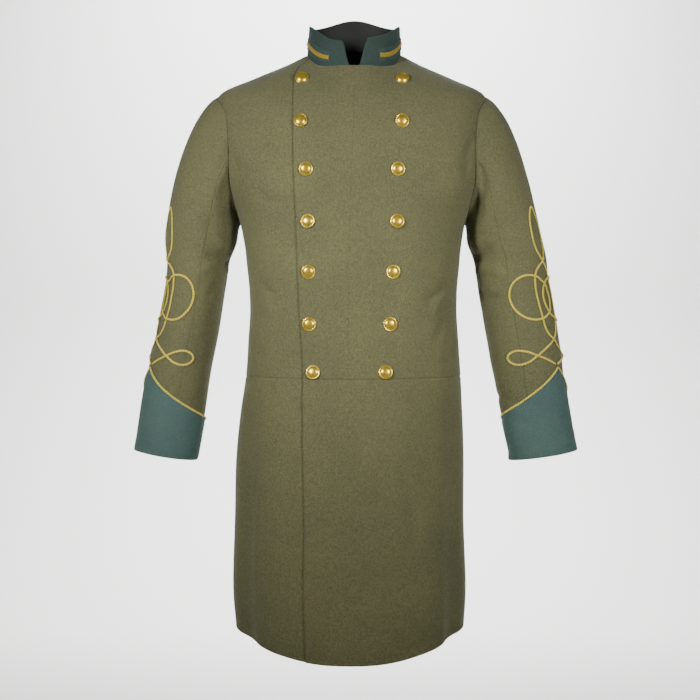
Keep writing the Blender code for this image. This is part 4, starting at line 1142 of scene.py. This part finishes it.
def knot_curves():
    """The flat curves of the braid: the knot's strand and its two rings."""
    whole = KNOT + tuple((-across, up) for across, up in reversed(KNOT[:-1]))
    turns = np.radians(np.arange(0, 360, 30))
    rings = [
        np.stack([
            hand * RING_ACROSS + RING_RADIUS * np.cos(turns), RING_UP + RING_RADIUS * np.sin(turns),
        ], axis=-1)
        for hand in (-1, 1)
    ]
    return (
        ("knot", flat_curve(whole), False),
        ("ring_back", flat_curve(rings[0], True), True),
        ("ring_front", flat_curve(rings[1], True), True),
    )


def knot_lifts(curves, over):
    """For each strand, its crossings and how high it passes over each."""
    plan = {name: [] for name, _, _ in curves}
    for index, (name, curve, _) in enumerate(curves):
        for _, later in crossings(curve, curve, True):
            plan[name].append((later, over))
        for below, under, _ in curves[:index]:
            for mine, theirs in crossings(curve, under, False):
                total = distance_along(under)[-1]
                already = float(strand_height(theirs, plan[below], total, below != "knot"))
                plan[name].append((mine, already + over))
    return plan


def on_sleeve(side, across, up):
    """The sleeve's angles and rows under flat places of the braid's pattern."""
    z = CUFF_POINT_Z + up
    girth = np.interp(-z, -SLEEVE_TABLE["z"], SLEEVE_TABLE["girth"])
    lean = KNOT_LEAN * (np.maximum(up, 0.0) / KNOT_HEIGHT) ** 2
    angle = CUFF_POINT_ANGLE[side] - lean + np.degrees(across / (girth / (2 * math.pi)))
    return angle, sleeve_row_at(side, angle, z * MM)


def cord_tube(centres, normals, width, height, closed):
    """A flattened twisted cord along a path: an ellipse in section whose edge
    swells and sinks in a two-ply helix. Its Lay map holds distance and turn."""
    along = distance_along(centres)
    wanted = np.linspace(0, along[-1], int(along[-1] / CORD_STEP) + 1)
    path = np.stack([np.interp(wanted, along, centres[:, k]) for k in range(3)], axis=-1)
    up = unit(np.stack([np.interp(wanted, along, normals[:, k]) for k in range(3)], axis=-1))
    if closed:
        path[-1], up[-1] = path[0], up[0]
        ahead = unit(np.roll(path[:-1], -1, axis=0) - np.roll(path[:-1], 1, axis=0))
        ahead = np.concatenate([ahead, ahead[:1]])
        ends = np.ones(len(wanted))
    else:
        ahead = unit(np.gradient(path, axis=0))
        ends = np.clip(np.minimum(wanted, along[-1] - wanted) / (CORD_ROUND * width), CORD_END, 1) ** 0.5
    sideways = unit(np.cross(ahead, up))
    turns = np.linspace(0, 2 * math.pi, CORD_SIDES + 1)
    plies = max(round(along[-1] / PLY_LENGTH), 1)
    helix = np.cos(2 * turns[None, :] - 2 * math.pi * plies * wanted[:, None] / along[-1])
    swell = 1 + PLY_SWELL * helix
    across = np.cos(turns)[None, :] * swell * ends[:, None] * width / 2
    lift = (np.sin(turns)[None, :] * swell * ends[:, None] + CORD_MIDDLE) * height / 2
    points = path[:, None] + (sideways[:, None] * across[..., None] + up[:, None] * lift[..., None])
    lay = np.broadcast_arrays(wanted[:, None] * 100, turns[None, :] / (2 * math.pi))
    return points, np.stack(lay, axis=-1)


def cord_piece(name, centres, normals, closed):
    """A cord's tube as a closed mesh, with the finish of the braid."""
    trim = bpy.context.scene.coat_trim
    points, lay = cord_tube(centres, normals, trim.width, trim.height, closed)
    rows, ring = points.shape[0], points.shape[1] - 1
    used = rows - 1 if closed else rows
    quads = tube_quads(rows - 1, ring, used)
    corners = lay.reshape(-1, 2)[grid_quads(rows, ring + 1).ravel()]
    if not closed:
        k = np.arange(0, ring - 2, 2)
        start = np.stack([np.zeros_like(k), k + 3, k + 2, k + 1], -1) % ring
        end = np.stack([np.zeros_like(k), k + 1, k + 2, k + 3], -1) % ring + (used - 1) * ring
        caps = np.concatenate([start, end])
        caps = caps[[len(set(cap)) == 4 for cap in caps.tolist()]]
        quads = np.concatenate([quads, caps])
        corners = np.concatenate([corners, np.zeros((caps.size, 2))])
    mesh = new_mesh(name, points[:used, :ring].reshape(-1, 3), quads, None, corners)
    new_piece(name, mesh, [braid_material()])


def build_knot(side, hand, curves, plan):
    """The raised knot on a sleeve, strand by strand."""
    for name, curve, closed in curves:
        along = distance_along(curve)
        wanted = np.linspace(0, along[-1], int(along[-1] / KNOT_STEP) + 1)
        across, up = (np.interp(wanted, along, curve[:, k]) for k in (0, 1))
        point, normal = sleeve_place(side, *on_sleeve(side, across, up))
        raised = BRAID_LIFT + strand_height(wanted, plan[name], along[-1], closed)
        cord_piece(f"braid_{name}_{hand}", point + normal * raised[:, None], normal, closed)


def build_piping(side, hand):
    """The piping just under a cuff's top."""
    start, end = cuff_span()
    angles = np.linspace(start + 0.5, end - 0.5, 360)
    height = cuff_top(side, angles) - PIPING_DROP * bpy.context.scene.coat_trim.width
    point, normal = sleeve_place(side, angles, sleeve_row_at(side, angles, height))
    lift = bpy.context.scene.coat_cloth.cuff_thickness + PIPING_LIFT
    cord_piece(f"cuff_piping_{hand}", point + normal * lift, normal, False)


def build_braid():
    """The raised knot on each sleeve and the piping on each cuff's top."""
    curves = knot_curves()
    plan = knot_lifts(curves, bpy.context.scene.coat_trim.height * CROSSING_RISE)
    for side, hand in HANDS:
        build_knot(side, hand, curves, plan)
        build_piping(side, hand)


def front_place(z, across):
    """The angle and level of a place on the front, by halving its height."""
    low, high = 4.5, float(NECK)
    for _ in range(HALVINGS):
        level = np.array((low + high) / 2)
        if float(body_point(front_angle(level, across), level)[2]) < z * MM:
            low = float(level)
        else:
            high = float(level)
    return front_angle(level, across), level


def button_mesh(name, place, normal, tilt):
    """A domed button with a rolled rim: its outline turned about the normal.
    Each row of points is the outline's radius times a circle."""
    trim = bpy.context.scene.coat_trim
    profile = np.array(BUTTON_PROFILE[1:-1])
    turns = np.linspace(0, 2 * math.pi, BUTTON_SIDES, endpoint=False)
    radius = profile[:, :1] * trim.button_radius
    height = profile[:, 1:] * trim.button_height
    ring = np.stack(np.broadcast_arrays(radius * np.cos(turns), radius * np.sin(turns), height), axis=-1)
    ends = [(0, 0, BUTTON_PROFILE[0][1]), (0, 0, BUTTON_PROFILE[-1][1])]
    points = np.concatenate([ring.reshape(-1, 3), np.array(ends) * trim.button_height])
    turn = Vector(normal).to_track_quat("Z", "Y").to_matrix()
    turn = turn @ Matrix.Rotation(math.radians(tilt), 3, "X")
    turn = turn @ Matrix.Rotation(math.radians(tilt * 0.6), 3, "Y")
    sides = tube_quads(len(profile) - 1, BUTTON_SIDES, len(profile))
    back = len(profile) * BUTTON_SIDES
    last = back - BUTTON_SIDES
    j = np.arange(0, BUTTON_SIDES, 2)
    k = (j + 2) % BUTTON_SIDES
    under = np.stack([np.full(j.shape, back), k, j + 1, j], -1)
    over = np.stack([np.full(j.shape, back + 1), last + j, last + j + 1, last + k], -1)
    return new_mesh(name, points @ np.array(turn).T + place, np.concatenate([sides, under, over]))


def build_buttons():
    """Two columns of domed buttons on the outer front."""
    forward = SHANK_TURN * np.array([0.0, -1.0, 0.0])
    for number, (z, right, left, tilt_right, tilt_left) in enumerate(BUTTONS, start=1):
        for across, hand, tilt in ((right, "right", tilt_right), (left, "left", tilt_left)):
            angle, level = front_place(z, across)
            normal = unit(normal_of(body_point, angle, level) + forward)
            lift = front_lap(angle, level) + body_relief(angle, level) + BUTTON_LIFT
            place = body_point(angle, level) + normal * lift
            name = f"button_{hand}_{number}"
            new_piece(name, button_mesh(name, place, normal, tilt), [brass_material()])


class Nodes:
    """A material's node tree with short calls for the nodes used here."""

    def __init__(self, name, colour):
        self.material = bpy.data.materials.new(name)
        self.material.use_nodes = True
        self.material.diffuse_color = (*colour, 1.0)
        self.tree = self.material.node_tree
        self.shader = self.tree.nodes["Principled BSDF"]

    def feed(self, socket, value):
        """Links a socket's source, or sets its value."""
        if isinstance(value, bpy.types.NodeSocket):
            self.tree.links.new(value, socket)
        elif socket.type == "RGBA":
            socket.default_value = (*value, 1.0)
        else:
            socket.default_value = value

    def add(self, kind, inputs, **settings):
        node = self.tree.nodes.new(kind)
        for key, value in settings.items():
            setattr(node, key, value)
        for key, value in inputs.items():
            self.feed(node.inputs[key], value)
        return node

    def set(self, **values):
        """Feeds the shader's inputs by their names."""
        for key, value in values.items():
            self.feed(self.shader.inputs[key.replace("_", " ")], value)

    def place(self, scale=(1, 1, 1), turn=(0, 0, 0)):
        """Object coordinates, scaled and turned."""
        source = self.add("ShaderNodeTexCoord", {}).outputs["Object"]
        inputs = {"Vector": source, "Scale": scale, "Rotation": turn}
        return self.add("ShaderNodeMapping", inputs).outputs["Vector"]

    def noise(self, vector, scale, detail=2.0, roughness=0.5):
        inputs = {"Vector": vector, "Scale": scale, "Detail": detail, "Roughness": roughness}
        return self.add("ShaderNodeTexNoise", inputs).outputs["Fac"]

    def bands(self, scale, distortion):
        """Slanting ribs."""
        inputs = {"Vector": self.place(), "Scale": scale, "Distortion": distortion}
        wave = self.add("ShaderNodeTexWave", inputs, wave_type="BANDS", bands_direction="DIAGONAL")
        return wave.outputs["Fac"]

    def ramp(self, value, *stops):
        """A colour ramp with its stops as (place, colour)."""
        node = self.add("ShaderNodeValToRGB", {"Fac": value})
        elements = node.color_ramp.elements
        elements[0].position = stops[0][0]
        elements[1].position = stops[-1][0]
        for place, _ in stops[1:-1]:
            elements.new(place)
        for element, (_, colour) in zip(elements, stops):
            element.color = (*colour, 1.0)
        return node.outputs["Color"]

    def mix(self, share, first, second, blend="MIX"):
        inputs = {0: share, 6: first, 7: second}
        return self.add("ShaderNodeMix", inputs, data_type="RGBA", blend_type=blend).outputs[2]

    def math(self, operation, *values):
        return self.add("ShaderNodeMath", dict(enumerate(values)), operation=operation).outputs[0]

    def worn(self, shade, value, low, high):
        """The base colour: a shade multiplied by a tint that changes slowly."""
        self.set(Base_Color=self.mix(1.0, shade, self.ramp(value, low, high), "MULTIPLY"))

    def bump(self, height, distance, strength):
        inputs = {"Height": height, "Distance": distance, "Strength": strength}
        self.set(Normal=self.add("ShaderNodeBump", inputs).outputs["Normal"])


def scaled(colour, factor):
    return tuple(min(c * factor, 1.0) for c in colour)


def felted(name, colour, mottle, light, dark, fleck):
    """Felted wool: blotches of raised and flat nap, fine fibre flecks in both
    directions of the weave, and slow variation from wear and dye."""
    n = Nodes(name, colour)
    plain = n.place()
    nap = n.noise(plain, 330.0, 3.0, 0.62)
    along = n.noise(n.place((1, 1, 0.22), (0, 0.12, 0)), 900.0, 2.0, 0.6)
    across = n.noise(n.place((0.22, 0.3, 1), (0, -0.1, 0)), 1000.0, 2.0, 0.6)
    flat, raised = scaled(colour, 1 - mottle), scaled(colour, 1 + mottle)
    ground = n.ramp(nap, (0.30, flat), (0.5, colour), (0.72, raised))
    pale = n.ramp(along, (0.56, BLACK), (0.72, WHITE))
    shaded = n.ramp(across, (0.28, WHITE), (0.46, BLACK))
    with_pale = n.mix(n.math("MULTIPLY", pale, fleck), ground, light)
    with_dark = n.mix(n.math("MULTIPLY", shaded, fleck), with_pale, dark)
    n.worn(with_dark, n.noise(plain, 9.0, 3.0), (0.3, (0.90, 0.91, 0.93)), (0.7, (1.08, 1.06, 1.02)))
    height = n.math("ADD", n.math("MULTIPLY", nap, 0.65), n.math("ADD", along, across))
    n.bump(height, 0.0006, 0.7)
    n.set(Roughness=0.93, Specular_IOR_Level=0.18)
    n.set(Sheen_Weight=0.34, Sheen_Roughness=0.36, Sheen_Tint=(0.62, 0.72, 0.70))
    return n.material


@cache
def wool_material():
    colour = tuple(bpy.context.scene.coat_cloth.wool)
    return felted("felted_wool", colour, 0.24, (0.27, 0.265, 0.150), (0.050, 0.047, 0.028), 0.34)


@cache
def facing_material():
    colour = tuple(bpy.context.scene.coat_cloth.facing)
    return felted("facing_cloth", colour, 0.13, (0.12, 0.19, 0.17), (0.026, 0.052, 0.050), 0.22)


def dark_cloth(name, colour):
    """The collar's cloth, which its patches share in a lighter colour."""
    return felted(name, colour, 0.13, (0.085, 0.14, 0.13), (0.020, 0.040, 0.038), 0.22)


@cache
def patch_material():
    return dark_cloth("patch_cloth", scaled(bpy.context.scene.coat_cloth.facing, 0.62))


@cache
def collar_material():
    return dark_cloth("collar_cloth_finish", tuple(bpy.context.scene.coat_cloth.collar))


@cache
def lining_material():
    """Dark twilled lining: fine slanting ribs with a soft gloss."""
    colour = tuple(bpy.context.scene.coat_cloth.lining)
    n = Nodes("twill_lining", colour)
    ribs = n.bands(260.0, 0.6)
    n.set(Base_Color=n.ramp(ribs, (0.2, scaled(colour, 0.8)), (0.8, scaled(colour, 1.35))))
    n.bump(ribs, 0.0002, 0.5)
    n.set(Roughness=0.62, Specular_IOR_Level=0.3)
    return n.material


@cache
def braid_material():
    """Gold cord: slanting threads round each ply, with painted shade in its grooves and painted light
    between them.
    """
    colour = tuple(bpy.context.scene.coat_trim.braid)
    n = Nodes("gold_cord", colour)
    lay = n.add("ShaderNodeTexCoord", {}).outputs["UV"]
    along, turn = n.add("ShaderNodeSeparateXYZ", {0: lay}).outputs[:2]
    ply = n.math("SUBTRACT", n.math("MULTIPLY", turn, 2.0), n.math("MULTIPLY", along, 1.923))
    groove = n.math("ABSOLUTE", n.math("SINE", n.math("MULTIPLY", ply, math.pi)))
    slant = n.math("ADD", n.math("MULTIPLY", along, 14.0), n.math("MULTIPLY", turn, 5.0))
    thread = n.math("SINE", n.math("MULTIPLY", slant, 2 * math.pi))
    # Painted shade and light: the cord's colour falls to a third in the grooves and rises by a fifth
    # between them.
    dark, middle, light = (scaled(colour, factor) for factor in (0.34, 0.85, 1.2))
    shade = n.ramp(groove, (0.0, dark), (0.4, middle), (1.0, light))
    n.worn(shade, n.noise(n.place(), 120.0), (0.3, (0.86, 0.84, 0.78)), (0.7, (1.06, 1.05, 1.0)))
    n.bump(n.math("ADD", n.math("MULTIPLY", thread, 0.35), groove), 0.0003, 0.8)
    n.set(Roughness=0.5, Sheen_Weight=0.15, Specular_IOR_Level=0.5)
    return n.material


@cache
def lace_material():
    """Woven gold lace: fine ribs across the tape."""
    colour = tuple(bpy.context.scene.coat_trim.lace)
    n = Nodes("gold_lace", colour)
    fine = n.noise(n.place((1, 1, 0.4)), 1300.0)
    weave = n.bands(420.0, 0.3)
    shade = n.ramp(weave, (0.1, scaled(colour, 0.5)), (0.8, colour))
    n.worn(shade, fine, (0.35, (0.85, 0.84, 0.8)), (0.65, (1.05, 1.04, 1.0)))
    n.bump(weave, 0.0003, 0.8)
    n.set(Roughness=0.48, Specular_IOR_Level=0.5)
    return n.material


@cache
def brass_material():
    """Stamped brass: warm metal with faint scratches and darker handling."""
    colour = tuple(bpy.context.scene.coat_trim.brass)
    n = Nodes("stamped_brass", colour)
    tarnish = n.noise(n.place(), 260.0, 3.0, 0.6)
    scratch = n.noise(n.place((1, 1, 4)), 900.0)
    n.set(Base_Color=n.ramp(tarnish, (0.35, scaled(colour, 0.78)), (0.6, colour)))
    n.set(Roughness=n.math("MULTIPLY_ADD", scratch, 0.18, 0.22))
    n.bump(scratch, 0.0001, 0.25)
    n.set(Metallic=0.88, Specular_IOR_Level=0.3)
    return n.material


def sweep_mesh(low):
    """A floor that curves up into a backdrop: a profile along its depth,
    carried straight across. The bend is a quarter circle."""
    turn = np.radians(np.linspace(0, 90, 16))
    radius, front, back, wall, half_width = 1.2, -5.0, 3.4, 5.0, 6.0
    depth = np.concatenate([[front, back - radius], back - radius + radius * np.sin(turn), [back]])
    height = np.concatenate([[low, low], low + radius - radius * np.cos(turn), [low + wall]])
    across = np.array([[-half_width, half_width]])
    grid = np.broadcast_arrays(across, depth[:, None], height[:, None])
    return new_mesh("sweep", np.stack(grid, axis=-1).reshape(-1, 3), grid_quads(len(depth), 2))


def build_camera(stage):
    """The camera at the photograph's place."""
    camera = add_object("camera", bpy.data.cameras.new("camera"))
    camera.location = (CAMERA_ACROSS, -stage.distance, stage.height)
    camera.rotation_euler = (math.radians(90), 0, 0)
    camera.data.lens = stage.lens
    camera.data.sensor_width = 36.0
    bpy.context.scene.camera = camera


def build_sweep(stage):
    """The pale floor and backdrop."""
    floor = add_object("sweep", sweep_mesh(stage.floor_height))
    n = Nodes("pale_sweep", stage.floor)
    n.set(Base_Color=stage.floor, Roughness=0.95, Specular_IOR_Level=0.1)
    floor.data.materials.append(n.material)


def build_stage():
    """Camera at the photograph's place, a pale sweep, and soft light."""
    scene = bpy.context.scene
    build_camera(scene.coat_stage)
    build_sweep(scene.coat_stage)
    for name, place, target, size, spread_angle, power in LIGHTS:
        light = bpy.data.lights.new(name, "AREA")
        light.size = size
        light.energy = power
        light.spread = spread_angle
        lamp = add_object(name, light)
        lamp.location = place
        facing = Vector(target) - Vector(place)
        lamp.rotation_euler = facing.to_track_quat("-Z", "Y").to_euler()
    scene.world = scene.world or bpy.data.worlds.new("studio")
    scene.world.use_nodes = True
    background = scene.world.node_tree.nodes["Background"]
    background.inputs["Color"].default_value = (1.0, 1.0, 1.0, 1.0)
    background.inputs["Strength"].default_value = WORLD_STRENGTH


class COAT_OT_fronts(bpy.types.Operator):
    """Builds the outer front with its lapel and the front under it"""

    bl_idname = "coat.fronts"
    bl_label = "Fronts"

    def execute(self, context):
        build_fronts()
        return {"FINISHED"}


class COAT_OT_side_bodies(bpy.types.Operator):
    """Builds the narrow pieces under the arms"""

    bl_idname = "coat.side_bodies"
    bl_label = "Side bodies"

    def execute(self, context):
        build_side_bodies()
        return {"FINISHED"}


class COAT_OT_backs(bpy.types.Operator):
    """Builds the backs with their lapped vent"""

    bl_idname = "coat.backs"
    bl_label = "Backs"

    def execute(self, context):
        build_backs()
        return {"FINISHED"}


class COAT_OT_skirts(bpy.types.Operator):
    """Builds the two skirts with their pleats"""

    bl_idname = "coat.skirts"
    bl_label = "Skirts"

    def execute(self, context):
        build_skirts()
        return {"FINISHED"}


class COAT_OT_sleeves(bpy.types.Operator):
    """Builds the two-piece sleeves"""

    bl_idname = "coat.sleeves"
    bl_label = "Sleeves"

    def execute(self, context):
        build_sleeves()
        return {"FINISHED"}


class COAT_OT_cuffs(bpy.types.Operator):
    """Builds the pointed cuffs"""

    bl_idname = "coat.cuffs"
    bl_label = "Cuffs"

    def execute(self, context):
        build_cuffs()
        return {"FINISHED"}


class COAT_OT_collar(bpy.types.Operator):
    """Builds the standing collar with its patches and gold bars"""

    bl_idname = "coat.collar"
    bl_label = "Collar"

    def execute(self, context):
        build_collar()
        return {"FINISHED"}


class COAT_OT_braid(bpy.types.Operator):
    """Builds the raised cord on the sleeves and cuffs"""

    bl_idname = "coat.braid"
    bl_label = "Sleeve braid"

    def execute(self, context):
        build_braid()
        return {"FINISHED"}


class COAT_OT_buttons(bpy.types.Operator):
    """Builds the two columns of domed buttons"""

    bl_idname = "coat.buttons"
    bl_label = "Buttons"

    def execute(self, context):
        build_buttons()
        return {"FINISHED"}


class COAT_OT_stage(bpy.types.Operator):
    """Sets the camera, the pale sweep and the studio light"""

    bl_idname = "coat.stage"
    bl_label = "Camera, floor and light"

    def execute(self, context):
        build_stage()
        return {"FINISHED"}


OPERATORS = (
    COAT_OT_fronts, COAT_OT_side_bodies, COAT_OT_backs, COAT_OT_skirts, COAT_OT_sleeves,
    COAT_OT_cuffs, COAT_OT_collar, COAT_OT_braid, COAT_OT_buttons, COAT_OT_stage,
)


class COAT_PT_panel(bpy.types.Panel):
    """Lists the coat's sizes, colours and pieces"""

    bl_idname = "COAT_PT_panel"
    bl_label = "Frock coat"
    bl_space_type = "VIEW_3D"
    bl_region_type = "UI"
    bl_category = "Coat"

    def draw(self, context):
        for name in ("coat_cloth", "coat_trim", "coat_stage"):
            group = getattr(context.scene, name)
            box = self.layout.box()
            for key in group.__annotations__:
                box.prop(group, key)
        for operator in OPERATORS:
            self.layout.operator(operator.bl_idname)


GROUPS = (("coat_cloth", CoatCloth), ("coat_trim", CoatTrim), ("coat_stage", CoatStage))


def register():
    for name, group in GROUPS:
        bpy.utils.register_class(group)
        setattr(bpy.types.Scene, name, bpy.props.PointerProperty(type=group))
    for item in OPERATORS + (COAT_PT_panel,):
        bpy.utils.register_class(item)


def unregister():
    for item in reversed(OPERATORS + (COAT_PT_panel,)):
        bpy.utils.unregister_class(item)
    for name, group in reversed(GROUPS):
        delattr(bpy.types.Scene, name)
        bpy.utils.unregister_class(group)


def main():
    """Builds every piece."""
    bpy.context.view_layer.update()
    register()
    for operator in OPERATORS:
        group, name = operator.bl_idname.split(".")
        getattr(getattr(bpy.ops, group), name)()


if __name__ == "__main__":
    main()
